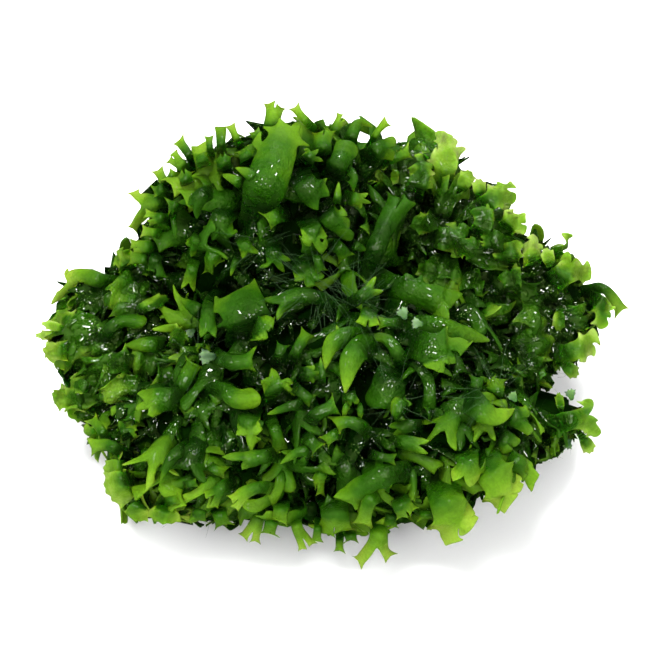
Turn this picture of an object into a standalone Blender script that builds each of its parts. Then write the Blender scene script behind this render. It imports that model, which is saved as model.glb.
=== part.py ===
# A palm-sized clump of pellia, a forking ribbon-shaped water plant, lying as it was lifted from the water.
# Colonies of small matted plants make the body of the clump, and large single fronds grow out of them.
# Lengths are in millimetres until the meshes are made.
import math
import random

import bmesh
import bpy
from mathutils import Vector, noise
from mathutils.bvhtree import BVHTree

MM = 0.001
GAP = 0.3  # between pieces that touch
MOST_SHELL = 2  # how many times the gap a sharp corner of a cutter may stand out

# Fronds are placed on a sheet that leans back by LEAN through SHEET_MIDDLE: across, up, and lift off the colony
LEAN = math.radians(42)
SHEET_MIDDLE = Vector((0, 0, 24))
ACROSS = Vector((1, 0, 0))
UP = Vector((0, math.sin(LEAN), math.cos(LEAN)))
OFF = Vector((0, -math.cos(LEAN), math.sin(LEAN)))

# Colonies: centre and radii of the shape that the frond tips reach, and how many short fronds stand on each
COLONIES = {
    "crown_colony": {"centre": (-10, 17, 25), "radii": (20.5, 19, 25.5), "fronds": 26, "cuts": 4},
    "middle_colony": {"centre": (1, -3, 15), "radii": (29, 23, 20.5), "fronds": 22, "cuts": 6},
    "right_shoulder_colony": {"centre": (19, 20, 18), "radii": (19.5, 18, 21), "fronds": 20, "cuts": 4},
    "left_colony": {"centre": (-27, 7, 13), "radii": (16, 19, 15), "fronds": 15},
    "right_colony": {"centre": (26, 14, 13), "radii": (17, 18, 15), "fronds": 14},
    "front_left_colony": {"centre": (-17, -12, 12), "radii": (19, 16.5, 13.5), "fronds": 16},
    "front_right_colony": {"centre": (14, -12.5, 12.5), "radii": (21, 16.5, 14.5), "fronds": 18, "cuts": 4},
    "back_left_colony": {"centre": (-16, 30, 14), "radii": (20, 16, 16), "fronds": 16},
    "back_right_colony": {"centre": (15, 31, 13), "radii": (21, 16, 15), "fronds": 16},
    "small_sprig": {"centre": (31, -3, 8.5), "radii": (9, 8, 8), "fronds": 8},
}
CUSHION = 0.86  # the matted part's share of a colony's radii
CUTS = 3  # of the cube that a cushion is rounded from, unless it names its own
LUMP = 0.1  # height of the cushion's lumps, as a share of its radius
LUMP_PITCH = 2.2
FLOOR_CLEAR = 4  # no short frond starts lower than this
TIP_CLEAR = 3  # nor passes lower than this
BELOW = 1.16  # how much deeper a cushion's lower half is
MERGE = 0.35
WELD = 0.02

# Short fronds, fused to their colony
SHORT_LENGTH = (5, 7.2)
SHORT_FOOT = 4.2
SHORT_WIDTH = 3
SHORT_ARM = 1.9
SHORT_THICK = 1.5
SHORT_FOOT_THICK, SHORT_TIP_THICK = 2.1, 0.9
SHORT_FORK = 0.5  # where it forks, as a share of its length
SHORT_SPREAD = 1.7
SHORT_STRAY = 0.35
SHORT_REACH = SHORT_SPREAD + SHORT_ARM / 2
SHORT_CLEAR = 1.3  # between its middle surface and a large frond or a neighbour's side
NEIGHBOUR_REACH = 1.25  # how far a touching neighbour is kept clear of, as a share of its radii
OTHER_REACH = 1.1  # the same for the other colonies
FACES_OUT = 0.6  # how squarely a face that carries one faces out
STAND_UP, HANG_DOWN = 0.7, 0.7  # how far a short frond stands off and hangs down its colony

# Large fronds
THICK = 0.42  # as a share of its width
LEAST_THICK, MOST_THICK = 0.8, 1.3
SINK = 5.5  # how far a root lies inside the colony's outline
ARCH = 1.6  # how far a frond's middle stands off it
TIP_LIFT = 0.6
STEEPEST_FALL, STEEPEST_CLIMB = 0.9, 1.6
STEP_UP = 0.6  # rise of each further try at passing over other fronds
MOST_STEPS = 16
TIP_SHARE = 0.62
FORK_AT = 0.5
CROWNING = 0.14  # rise of a frond's middle line, as a share of its width
TIP_FLARE, ARM_FLARE = 1.3, 1.5
NOTCH = 0.5  # depth of the notch in a tip, as a share of its width

LARGE_FRONDS = {
    # crown
    "crown_top_fork": {"on": "crown_colony", "root": (-10.6, 28), "tips": [(-10.2, 34.9), (-7.6, 34.4)], "width": 2.4},
    "crown_blade": {"on": "crown_colony", "root": (-10, 17.4), "tips": [(-5, 31.2)], "width": 6},
    "crown_left_fork": {"on": "crown_colony", "root": (-24, 21), "tips": [(-30.2, 22.2), (-30.3, 15)], "width": 1.8},
    "crown_left_horn": {"on": "crown_colony", "root": (-20.6, 25), "tips": [(-23.6, 29.6)], "width": 1.7},
    "crown_right_horn": {"on": "crown_colony", "root": (1.5, 27.2), "tips": [(5.9, 31.2), (2, 32.6)], "width": 1.8},
    "crown_finger": {"on": "crown_colony", "root": (5, 27.2), "tips": [(8.2, 31.8)], "width": 1.7},
    "crown_round_lobe": {"on": "crown_colony", "root": (0, 23.4), "tips": [(2.7, 28.6)], "width": 2.8},
    "crown_star": {"on": "crown_colony", "root": (-16.2, 18.6), "tips": [(-19.4, 15.6), (-14.4, 15)], "width": 3},
    "crown_dark_strap": {"on": "crown_colony", "root": (-16.6, 21.6), "tips": [(-22.8, 20)], "width": 2.6},
    "crown_left_pendant": {"on": "crown_colony", "root": (-21, 12.6), "tips": [(-21.8, 6.4)], "width": 2},
    "crown_claw": {"on": "crown_colony", "root": (-4, 18), "tips": [(-5, 13.4), (-1, 12)], "width": 2.7},
    "crown_pendant": {"on": "crown_colony", "root": (-6.4, 11.4), "tips": [(-5.2, 6.4)], "width": 2.8},
    "crown_right_fork": {"on": "crown_colony", "root": (-4.6, 23.4), "tips": [(-0.4, 20.4), (-2, 18.6)], "width": 2.6},
    # valley and right shoulder
    "shoulder_strap": {"on": "right_shoulder_colony", "root": (5, 8.4), "tips": [(10.4, 20.6)], "width": 3.3},
    "valley_strap": {
        "on": "right_shoulder_colony", "root": (8, 6.6), "tips": [(19.2, 5.8), (17.6, 2.2)], "width": 3.6, "lift": 1,
    },
    "shoulder_top_ruffle": {
        "on": "right_shoulder_colony", "root": (15.6, 22), "tips": [(16.8, 30.4), (19.8, 27.6)], "width": 3.4,
    },
    "shoulder_ruffle": {
        "on": "right_shoulder_colony", "root": (21.6, 18), "tips": [(25.2, 22.6), (28, 19)], "width": 3.8,
    },
    "shoulder_inner_ruffle": {
        "on": "right_shoulder_colony", "root": (14.4, 14.4), "tips": [(20.6, 16), (18.4, 11.4)], "width": 3.6,
    },
    "right_scallop": {"on": "right_colony", "root": (31, 7.8), "tips": [(35.6, 10.8), (38.8, 8.4)], "width": 3.4},
    "right_tip": {"on": "right_colony", "root": (37.4, 6), "tips": [(44.2, 2.8)], "width": 2},
    "right_fingers": {"on": "right_colony", "root": (34.4, -2.6), "tips": [(39.9, -0.4), (39.4, -3.2)], "width": 1.9},
    # left
    "left_top_strap": {"on": "left_colony", "root": (-33, 7.6), "tips": [(-39.8, 9.4), (-42.2, 4.8)], "width": 2.2},
    "left_tip": {"on": "left_colony", "root": (-39, -0.6), "tips": [(-44.8, -0.4)], "width": 1.8},
    "left_low_point": {"on": "left_colony", "root": (-36, -10), "tips": [(-42.2, -8.8), (-41.6, -12.4)], "width": 2},
    "left_arc": {"on": "left_colony", "root": (-34.6, -3.4), "bend": (-32.6, 1), "tips": [(-28.4, 1.8)], "width": 1.9},
    "left_leaf": {"on": "left_colony", "root": (-23, -5), "tips": [(-30.8, -2.4)], "width": 2.6},
    # middle
    "broad_leaf": {
        "on": "middle_colony", "root": (-16.4, -2.6), "tips": [(-18, 7.2), (-11.8, 6.4), (-9.4, 1.6)], "width": 5.6,
        "lift": 1.4,
    },
    "long_arch": {
        "on": "middle_colony", "root": (3, 2.4), "bend": (-4.6, 5.6), "tips": [(-10.4, 5), (-8.2, 2.2)], "width": 2.2,
        "lift": 1,
    },
    "big_fan": {
        "on": "middle_colony", "root": (8.6, 0.2), "tips": [(22.8, -1.6), (18.6, -2.8), (15.6, -5.6)], "width": 5.2,
        "lift": 1,
    },
    "upper_claw": {"on": "middle_colony", "root": (6, -1.6), "bend": (0.8, -0.9), "tips": [(-1, -5)], "width": 2.9},
    "lower_claw": {"on": "middle_colony", "root": (8.4, -5), "bend": (4.2, -4), "tips": [(2, -8.6)], "width": 3},
    "curled_strap": {
        "on": "front_left_colony", "root": (-19.2, -10), "bend": (-15.2, -8.6), "tips": [(-11.6, -9.6)], "width": 2.7,
    },
    "hanging_tee": {
        "on": "middle_colony", "root": (-11.6, -11.2), "tips": [(-14, -15), (-10.8, -16.6)], "width": 2.6, "lift": 1,
    },
    "small_fan": {"on": "middle_colony", "root": (-7.4, -10.4), "tips": [(-10.2, -6.8), (-5.8, -7)], "width": 3.4},
    "centre_strap": {"on": "middle_colony", "root": (-6.4, -4.4), "tips": [(-3.6, 0.4)], "width": 2},
    "horn": {
        "on": "front_right_colony", "root": (18.4, -8.4), "bend": (22, -12), "tips": [(26.8, -11.8)], "width": 3.1,
    },
    "low_arch": {"on": "middle_colony", "root": (5.8, -16.4), "bend": (2.6, -13.6), "tips": [(0, -14.4)], "width": 2},
    "big_low_strap": {
        "on": "front_right_colony", "root": (14, -19), "bend": (8, -20.6), "tips": [(1, -24.4)], "width": 3,
        "lift": 1.2,
    },
    # front rim
    "dark_fork": {
        "on": "front_left_colony", "root": (-20, -15), "tips": [(-26, -20.6), (-19, -22)], "width": 2.6,
    },
    "rim_lobe": {"on": "front_left_colony", "root": (-29.4, -20), "tips": [(-34.8, -22), (-32, -26)], "width": 3},
    "rim_finger": {"on": "front_left_colony", "root": (-11.4, -25), "tips": [(-13.4, -30.8), (-11, -31.4)], "width": 2},
    "rim_short_strap": {"on": "front_left_colony", "root": (-6.2, -25.4), "tips": [(-4, -32.4)], "width": 2},
    "bottom_fork": {"on": "front_right_colony", "root": (6.4, -25.6), "tips": [(3.8, -34.8), (9.2, -33.6)], "width": 2},
    "front_fan": {
        "on": "front_right_colony", "root": (14.6, -22.6), "tips": [(16.8, -30.8), (20.6, -28)], "width": 4.6,
    },
    "front_right_fan": {
        "on": "front_right_colony", "root": (20.6, -17.4), "tips": [(25.2, -25.8), (27.6, -22.6)], "width": 4.6,
    },
    "sprig_frond": {"on": "small_sprig", "root": (33.4, -13), "tips": [(38.8, -10.6), (39.4, -15.4)], "width": 2.2},
}

# Colours, linear
COLOURS = {
    "matted": (0.022, 0.075, 0.008),
    "dark": (0.035, 0.12, 0.012),
    "fresh": (0.12, 0.3, 0.016),
}
FRESH_FRONDS = ("crown_", "left_", "rim_", "right_")
ROUGHNESS = 0.35


def material(name, colour):
    made = bpy.data.materials.new(name)
    made.use_nodes = True
    shader = made.node_tree.nodes["Principled BSDF"]
    shader.inputs["Base Color"].default_value = (*colour, 1)
    shader.inputs["Roughness"].default_value = ROUGHNESS
    shader.inputs["Metallic"].default_value = 0
    return made


def new_object(name, bm, collection):
    mesh = bpy.data.meshes.new(name)
    bm.to_mesh(mesh)
    bm.free()
    made = bpy.data.objects.new(name, mesh)
    collection.objects.link(made)
    return made


def divided(a, b):
    return Vector((a.x / b.x, a.y / b.y, a.z / b.z))


def times(a, b):
    return Vector((a.x * b.x, a.y * b.y, a.z * b.z))


def reach(radii, way):
    # How far an ellipsoid's surface is from its centre along way
    return 1 / divided(way, radii).length


def split_plane(colony, other):
    # The plane that parts two colonies, or None where they don't meet
    centre, radii = Vector(colony["centre"]), Vector(colony["radii"]) * CUSHION
    other_centre, other_radii = Vector(other["centre"]), Vector(other["radii"]) * CUSHION
    apart = other_centre - centre
    way = apart.normalized()
    mine, theirs = reach(radii, way), reach(other_radii, way)
    if mine + theirs < apart.length:
        return None
    share = (mine + apart.length - theirs) / 2
    return centre + way * share, way


# Large fronds


def meeting(colony, start):
    # How far along OFF from start the colony's outline is met, or passed closest by, and whether it is met
    centre, radii = Vector(colony["centre"]), Vector(colony["radii"])
    s, d = divided(start - centre, radii), divided(OFF, radii)
    a, b, c = d.dot(d), s.dot(d), s.dot(s) - 1
    inside = b * b - a * c
    return (math.sqrt(max(inside, 0)) - b) / a, inside > 0


def outline_at(colony, place):
    # How far the clump's outline is off the sheet at a place of it
    start = SHEET_MIDDLE + ACROSS * place.x + UP * place.y
    far = meeting(colony, start)[0]
    for other in COLONIES.values():
        other_far, met = meeting(other, start)
        if met:
            far = max(far, other_far)
    return far


def laid_on(colony, places, lifts, far=None):
    # The places of a frond laid on the clump, and how far the last is off the sheet; it never drops or climbs steeply
    points = []
    for i, (place, lift) in enumerate(zip(places, lifts)):
        outline = outline_at(colony, place)
        if i:
            step = (place - places[i - 1]).length
            outline = max(outline, far - STEEPEST_FALL * step)
            outline = min(outline, far + STEEPEST_CLIMB * step)
        elif far is not None:
            outline = far
        far = outline
        points.append(SHEET_MIDDLE + ACROSS * place.x + UP * place.y + OFF * (far + lift))
    return points, far


def row(bm, point, along, heading, width, count):
    # A row of points across a frond from left to right, raised in the middle; heading is its way on the sheet
    side = ACROSS * heading.y - UP * heading.x
    side = (side - along * side.dot(along)).normalized()
    rise = side.cross(along)
    points = []
    for i in range(count):
        share = 2 * i / (count - 1) - 1
        offset = side * (width * share / 2) + rise * (width * CROWNING * (1 - share * share))
        points.append(bm.verts.new((point + offset) * MM))
    return points


def bridge(bm, first, second):
    for i in range(len(first) - 1):
        bm.faces.new((first[i], first[i + 1], second[i + 1], second[i]))


def frond_sheet(frond, lift):
    # A frond's surface, two or three faces wide, from its root to its tips
    bm = bmesh.new()
    colony = COLONIES[frond["on"]]
    root, width = Vector(frond["root"]), frond["width"]
    tips = [Vector(tip) for tip in frond["tips"]]
    middle = sum(tips, Vector((0, 0))) / len(tips)
    single = len(tips) == 1
    bend = Vector(frond.get("bend", root.lerp(middle, FORK_AT)))
    fork = bend.lerp(middle, TIP_SHARE) if "bend" in frond or single else bend
    ahead = middle - bend
    tips.sort(key=lambda tip: (tip.x - fork.x) * ahead.y - (tip.y - fork.y) * ahead.x)

    places = [root, root.lerp(bend, 0.5), bend]
    lifts = [-SINK, (lift - SINK) / 2, lift + ARCH]
    if fork != bend:
        places.append(fork)
        lifts.append(lift + ARCH)
    points, far = laid_on(colony, places, lifts)
    ends = [laid_on(colony, (fork, tip), (0, lift + TIP_LIFT), far)[0][1] for tip in tips]
    points.append(sum(ends, Vector()) / len(ends))
    places.append(middle)
    count = max(len(tips), 2) + 1
    rows = []
    for i in range(len(points) - 1):
        along = (points[i + 1] - points[max(i - 1, 0)]).normalized()
        heading = (places[i + 1] - places[max(i - 1, 0)]).normalized()
        rows.append(row(bm, points[i], along, heading, width, count))
    for first, second in zip(rows, rows[1:]):
        bridge(bm, first, second)

    if single:
        along = (ends[0] - points[-2]).normalized()
        tip = row(bm, ends[0], along, (tips[0] - fork).normalized(), width * TIP_FLARE, count)
        bridge(bm, rows[-1], tip)
        tip[1].co -= along * width * NOTCH * MM
        return bm
    arm_width = width / len(tips)
    for i, (end, tip) in enumerate(zip(ends, tips)):
        base = rows[-1][i : i + 2]
        start = (base[0].co + base[1].co) / (2 * MM)
        along = (end - start).normalized()
        heading = (tip - fork).normalized()
        knee = row(bm, start.lerp(end, 0.5), along, heading, arm_width, 2)
        corner = row(bm, end, along, heading, arm_width * ARM_FLARE, 2)
        bridge(bm, base, knee)
        bridge(bm, knee, corner)
    return bm


def solid_frond(name, frond, lift, cutters):
    # The frond as a solid mesh, seated on the colonies
    seated = new_object(name, frond_sheet(frond, lift), bpy.context.scene.collection)
    solid = seated.modifiers.new("thickness", "SOLIDIFY")
    solid.thickness = min(max(THICK * frond["width"], LEAST_THICK), MOST_THICK) * MM
    solid.offset = 0
    for cutter in cutters:
        boolean = seated.modifiers.new("seat", "BOOLEAN")
        boolean.operation = "DIFFERENCE"
        boolean.solver = "EXACT"
        boolean.object = cutter
    graph = bpy.context.evaluated_depsgraph_get()
    graph.update()
    mesh = bpy.data.meshes.new_from_object(seated.evaluated_get(graph))
    bpy.data.objects.remove(seated)
    return largest_body(mesh)


def large_frond(name, frond, cutters, others):
    # Raises the frond until it passes over those already placed
    for step in range(MOST_STEPS):
        mesh = solid_frond(name, frond, frond.get("lift", 0) + step * STEP_UP, cutters)
        tree = tree_of(mesh, GAP)
        if not any(tree.overlap(other) for other in others):
            others.append(tree_of(mesh, 0))
            return mesh
    raise ValueError(name + " still meets another frond")


# Colonies


def cushion(name, colony, skin=0):
    # The matted part of a colony, cut flat against its neighbours and underneath
    bm = bmesh.new()
    bmesh.ops.create_cube(bm, size=2)
    bmesh.ops.subdivide_edges(bm, edges=bm.edges[:], cuts=colony.get("cuts", CUTS), use_grid_fill=True)
    centre = Vector(colony["centre"])
    radii = Vector(colony["radii"]) * CUSHION + Vector((skin, skin, skin))
    shift = Vector((len(name), centre.x, centre.y))
    for vert in bm.verts:
        way = vert.co.normalized()
        lump = 1 + LUMP * noise.noise(way * LUMP_PITCH + shift)
        way.z *= BELOW if way.z < 0 else 1
        vert.co = (centre + times(way, radii) * lump) * MM
    for other_name, other in COLONIES.items():
        plane = split_plane(colony, other) if other_name != name else None
        if plane:
            cut_flat(bm, plane[0] + plane[1] * (skin - GAP / 2), plane[1])
    cut_flat(bm, Vector((0, 0, -skin)), Vector((0, 0, -1)))
    bmesh.ops.recalc_face_normals(bm, faces=bm.faces[:])
    bm.normal_update()
    return bm


def cut_flat(bm, point, normal):
    everything = bm.verts[:] + bm.edges[:] + bm.faces[:]
    cut = bmesh.ops.bisect_plane(bm, geom=everything, plane_co=point * MM, plane_no=normal, clear_outer=True)
    edges = [item for item in cut["geom_cut"] if isinstance(item, bmesh.types.BMEdge)]
    if edges:
        bmesh.ops.remove_doubles(bm, verts=bm.verts[:], dist=MERGE * MM)
        holes = [edge for edge in bm.edges if edge.is_boundary]
        bmesh.ops.holes_fill(bm, edges=holes, sides=0)


def downhill(normal):
    # The way down a slope, longest where it is steepest
    return normal * normal.z - Vector((0, 0, 1))


def is_free(point, name, others):
    # Whether a short frond may pass here: on its colony's own side, and clear of the floor and large fronds
    if point.z < TIP_CLEAR:
        return False
    for other_name, other in COLONIES.items():
        if other_name == name:
            continue
        plane = split_plane(COLONIES[name], other)
        off = divided(point - Vector(other["centre"]), Vector(other["radii"])).length
        if plane and off < NEIGHBOUR_REACH and (point - plane[0]).dot(plane[1]) > -SHORT_CLEAR:
            return False
        if not plane and off < OTHER_REACH:
            return False
    return not any(tree.find_nearest(point * MM, SHORT_CLEAR * MM)[0] for tree in others)


def flatten(face, across, width, thick):
    # Gives a face the flat section of a frond: width along across, thick the other way
    centre = face.calc_center_median()
    normal = face.normal.copy()
    across = (across - normal * across.dot(normal)).normalized()
    through = normal.cross(across)
    size_across = max(abs((vert.co - centre).dot(across)) for vert in face.verts)
    size_through = max(abs((vert.co - centre).dot(through)) for vert in face.verts)
    for vert in face.verts:
        offset = vert.co - centre
        along = offset.dot(across) / size_across * width / 2 * MM
        deep = offset.dot(through) / size_through * thick / 2 * MM
        vert.co = centre + across * along + through * deep


def pushed_out(bm, face, step):
    out = bmesh.ops.extrude_discrete_faces(bm, faces=[face])["faces"][0]
    bmesh.ops.translate(bm, verts=out.verts[:], vec=step * MM)
    out.normal_update()
    return out


def seam_down(bm, face, across):
    # Parts a frond's end face down its middle, and returns the edge between the halves
    edges = sorted(face.edges, key=lambda e: -abs((e.verts[0].co - e.verts[1].co).normalized().dot(across)))[:2]
    cut = bmesh.ops.subdivide_edges(bm, edges=edges, cuts=1)
    return bm.edges.get([item for item in cut["geom_inner"] if isinstance(item, bmesh.types.BMVert)])


def short_frond(bm, face, way, across, length):
    # A short frond that forks at its end, drawn out of a face of its colony
    foot = pushed_out(bm, face, Vector())
    flatten(foot, across, SHORT_FOOT, SHORT_FOOT_THICK)
    stem = pushed_out(bm, foot, way * length * SHORT_FORK)
    flatten(stem, across, SHORT_WIDTH, SHORT_THICK)
    stem.normal_update()
    across = (across - stem.normal * across.dot(stem.normal)).normalized()
    seam = seam_down(bm, stem, across)
    middle = (seam.verts[0].co + seam.verts[1].co) / 2
    for half in list(seam.link_faces):
        side = across if (half.calc_center_median() - middle).dot(across) > 0 else -across
        half.normal_update()
        arm = pushed_out(bm, half, way * length * (1 - SHORT_FORK) + side * SHORT_SPREAD)
        flatten(arm, across, SHORT_ARM, SHORT_TIP_THICK)


def add_short_fronds(bm, name, colony, others):
    rng = random.Random(name)
    centre = Vector(colony["centre"])
    outer = []
    for face in bm.faces:
        middle = face.calc_center_median() / MM
        way = (middle - centre).normalized()
        if len(face.verts) == 4 and face.normal.dot(way) > FACES_OUT and middle.z > FLOOR_CLEAR:
            outer.append(face)
    rng.shuffle(outer)
    grown_so_far = 0
    for face in outer:
        middle = face.calc_center_median() / MM
        stray = Vector((rng.uniform(-SHORT_STRAY, SHORT_STRAY) for _ in range(3)))
        way = (face.normal * STAND_UP + downhill(face.normal) * HANG_DOWN + stray).normalized()
        length = rng.uniform(*SHORT_LENGTH)
        across = way.cross(Vector((rng.uniform(-1, 1) for _ in range(3)))).normalized()
        path = []
        for share, half in ((0, SHORT_FOOT / 2), (SHORT_FORK, SHORT_WIDTH / 2), (1, SHORT_REACH)):
            point = middle + way * length * share
            path += [point - across * half, point, point + across * half]
        if grown_so_far < colony["fronds"] and all(is_free(point, name, others) for point in path):
            short_frond(bm, face, way, across, length)
            grown_so_far += 1


# Keeping one piece clear of another


def grown(bm, by):
    # Gives a shape a skin
    bm.normal_update()
    for vert in bm.verts:
        vert.co += vert.normal * by * MM * min(vert.calc_shell_factor(), MOST_SHELL)


def tree_of(mesh, skin):
    bm = bmesh.new()
    bm.from_mesh(mesh)
    grown(bm, skin)
    tree = BVHTree.FromBMesh(bm)
    bm.free()
    return tree


def largest_body(mesh):
    # Drops the scraps that a cut leaves
    bm = bmesh.new()
    bm.from_mesh(mesh)
    bmesh.ops.remove_doubles(bm, verts=bm.verts[:], dist=WELD * MM)
    bmesh.ops.dissolve_degenerate(bm, edges=bm.edges[:], dist=WELD * MM)
    left, bodies = set(bm.faces), []
    while left:
        body, edge_faces = [], [left.pop()]
        while edge_faces:
            face = edge_faces.pop()
            body.append(face)
            joined = {other for edge in face.edges if len(edge.link_faces) == 2 for other in edge.link_faces}
            edge_faces.extend(joined & left)
            left -= joined
        bodies.append(body)
    bodies.sort(key=lambda body: -sum(face.calc_area() for face in body))
    scraps = [face for body in bodies[1:] for face in body]
    bmesh.ops.delete(bm, geom=scraps, context="FACES")
    bm.to_mesh(mesh)
    bm.free()
    return mesh


def stand_at_origin(parts):
    # Hangs the parts on an empty, moved so that the middle of the clump's underside is at the origin
    corners = [vert.co for part in parts for vert in part.data.vertices]
    low = [min(corner[i] for corner in corners) for i in range(3)]
    high = [max(corner[i] for corner in corners) for i in range(3)]
    stand = bpy.data.objects.new("stand", None)
    parts[0].users_collection[0].objects.link(stand)
    stand.location = (-(low[0] + high[0]) / 2, -(low[1] + high[1]) / 2, -low[2])
    for part in parts:
        part.parent = stand


def main():
    for old in list(bpy.data.objects):
        bpy.data.objects.remove(old)
    clump = bpy.data.collections.new("pellia_moss")
    cutting = bpy.data.collections.new("cutters")
    for collection in (clump, cutting):
        bpy.context.scene.collection.children.link(collection)

    cutters, others, parts = [], [], []
    for name, colony in COLONIES.items():
        cutter = new_object(name + "_cutter", cushion(name, colony, GAP), cutting)
        cutter.hide_render = True
        cutter.display_type = "WIRE"
        cutters.append(cutter)
    for name, frond in LARGE_FRONDS.items():
        made = bpy.data.objects.new(name, large_frond(name, frond, cutters, others))
        clump.objects.link(made)
        made.data.materials.append(material(name, COLOURS["fresh" if name.startswith(FRESH_FRONDS) else "dark"]))
        parts.append(made)
    for name, colony in COLONIES.items():
        shape = cushion(name, colony)
        add_short_fronds(shape, name, colony, others)
        made = new_object(name, shape, clump)
        made.data.materials.append(material(name, COLOURS["matted"]))
        parts.append(made)
    stand_at_origin(parts)


main()
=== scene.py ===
import math
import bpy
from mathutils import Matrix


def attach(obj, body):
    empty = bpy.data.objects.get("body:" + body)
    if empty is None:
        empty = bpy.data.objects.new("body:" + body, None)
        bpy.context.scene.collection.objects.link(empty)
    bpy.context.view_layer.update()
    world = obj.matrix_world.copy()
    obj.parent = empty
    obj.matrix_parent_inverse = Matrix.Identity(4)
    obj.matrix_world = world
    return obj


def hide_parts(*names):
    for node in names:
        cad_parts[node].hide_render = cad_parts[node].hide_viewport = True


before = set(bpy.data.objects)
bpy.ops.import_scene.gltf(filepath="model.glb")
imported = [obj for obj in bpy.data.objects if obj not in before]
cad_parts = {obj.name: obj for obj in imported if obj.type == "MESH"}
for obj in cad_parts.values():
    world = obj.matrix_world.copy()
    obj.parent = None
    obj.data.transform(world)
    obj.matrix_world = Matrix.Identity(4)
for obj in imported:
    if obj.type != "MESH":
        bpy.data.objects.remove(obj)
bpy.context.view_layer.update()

import zlib

import bmesh
import bpy
import numpy as np
from mathutils import Vector

# A palm-sized clump of wet pellia, laid down. Places are in millimetres on a sheet that faces the camera:
# u across, v up, h off the sheet towards the camera. Fronds are listed at their places in the picture, in its pixels.
sheet = {
    "lean": math.radians(42),
    "middle": (0, 0, 24),
    "standShift": (0.59, -9.26, 0),
    "pixel": 0.15,  # millimetres
    "centrePixel": 332,
}
acrossWay = np.array((1.0, 0, 0))
upWay = np.array((0, math.sin(sheet["lean"]), math.cos(sheet["lean"])))
offWay = np.array((0, -math.cos(sheet["lean"]), math.sin(sheet["lean"])))
sheetMiddle = np.array(sheet["middle"], float)
standShift = np.array(sheet["standShift"], float)
floorGap = 0.12  # least height of a point over the floor
smallLong = 9  # length of a small frond as modelled, from root to tips
bare = -50  # lower than this, nothing is laid down yet


def onSheet(pixels):
    pixels = np.array(pixels, float)
    return (pixels - sheet["centrePixel"]) * (sheet["pixel"], -sheet["pixel"])


def offSheet(points):  # u, v, h to the clump's own x, y, z
    return sheetMiddle + points[:, :1] * acrossWay + points[:, 1:2] * upWay + points[:, 2:] * offWay


def toSheet(points):
    away = points - sheetMiddle
    return np.stack((away @ acrossWay, away @ upWay, away @ offWay), axis=1)


def unit(way):
    return way / np.linalg.norm(way)


def overFloor(points, gap=floorGap):
    points[:, 2] = np.maximum(points[:, 2], gap)
    return points


def smoothStep(values, low, high):
    t = np.clip((values - low) / (high - low), 0, 1)
    return t * t * (3 - 2 * t)


# Colonies: the shape that their frond tips reach, the counts of small fronds in the layers (under, between, over
# and long ones), their length and how light their colour is (glow: partly fresh growth, partly painted light and shade)
colonies = {
    "crown_colony": {"centre": (-10, 17, 25), "radii": (20.5, 19, 25.5), "counts": (130, 90, 73, 0), "size": 8.2,
        "glow": 0.84},
    "middle_colony": {"centre": (1, -3, 15), "radii": (29, 23, 20.5), "counts": (150, 100, 73, 0), "size": 8.6,
        "glow": 0.66},
    "right_shoulder_colony": {"centre": (19, 20, 18), "radii": (19.5, 18, 21), "counts": (50, 70, 69, 0), "size": 7.6,
        "glow": 0.68},
    "left_colony": {"centre": (-27, 7, 13), "radii": (16, 19, 15), "counts": (50, 65, 60, 0), "size": 7.4,
        "glow": 0.68},
    "right_colony": {"centre": (26, 14, 13), "radii": (17, 18, 15), "counts": (50, 65, 66, 0), "size": 7.4,
        "glow": 0.64},
    "front_left_colony": {"centre": (-17, -12, 12), "radii": (19, 16.5, 13.5), "counts": (110, 80, 73, 0),
        "size": 7.4, "glow": 0.84},
    "front_right_colony": {"centre": (14, -12.5, 12.5), "radii": (21, 16.5, 14.5), "counts": (110, 80, 69, 0),
        "size": 7.6, "glow": 0.8},
    "back_left_colony": {"centre": (-16, 30, 14), "radii": (20, 16, 16), "counts": (100, 70, 55, 22), "size": 9,
        "glow": 0.86},
    "back_right_colony": {"centre": (15, 31, 13), "radii": (21, 16, 15), "counts": (100, 70, 55, 22), "size": 9,
        "glow": 0.86},
    "small_sprig": {"centre": (31, -3, 8.5), "radii": (9, 8, 8), "counts": (25, 25, 27, 0), "size": 5.4, "glow": 0.84},
}
clumpCentre = np.array((0, 10, 10))
ruffled = ("right_shoulder_colony", "right_colony", "left_colony", "small_sprig")
firm = ("shoulder_strap", "valley_strap", "left_top_strap", "left_leaf", "left_arc", "right_tip")  # straps among them


def met(name, place):  # how far off the sheet a colony's outline is at a place, and whether it is met there
    centre, radii = np.array(colonies[name]["centre"]), np.array(colonies[name]["radii"])
    start = sheetMiddle + place[0] * acrossWay + place[1] * upWay
    s, d = (start - centre) / radii, offWay / radii
    a, b, c = d @ d, s @ d, s @ s - 1
    inside = b * b - a * c
    return (math.sqrt(max(inside, 0)) - b) / a, inside > 0


def outlineAt(name, place):
    far = met(name, place)[0]
    for other in colonies:
        otherFar, isMet = met(other, place)
        if isMet:
            far = max(far, otherFar)
    return far


def howDeep(points):  # 0 at the clump's outline, 1 from about a quarter of the way in; it sets the painted shade inside the clump, and where the wet film lies
    darkFrom = 0.24
    nearest = np.min([np.linalg.norm((points - colony["centre"]) / colony["radii"], axis=1)
                      for colony in colonies.values()], axis=0)
    return np.clip((1.0 - nearest) / darkFrom, 0, 1)


# The outline that the small fronds keep to, as the picture shows it
clumpEdge = onSheet([
    (262, 122), (330, 116), (395, 135), (440, 148), (470, 178), (505, 203), (522, 235), (565, 260), (592, 283),
    (608, 310), (588, 340), (560, 370), (525, 397), (540, 410), (582, 400), (592, 432), (550, 457), (522, 480),
    (470, 495), (467, 517), (430, 522), (385, 532), (340, 540), (290, 522), (225, 520), (160, 520), (125, 508),
    (103, 482), (106, 455), (96, 435), (78, 420), (58, 400), (73, 385), (62, 362), (50, 347), (50, 325),
    (56, 300), (64, 278), (110, 272), (118, 255), (136, 240), (148, 215), (148, 195), (162, 180), (183, 160),
    (213, 146), (240, 140),
])


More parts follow.
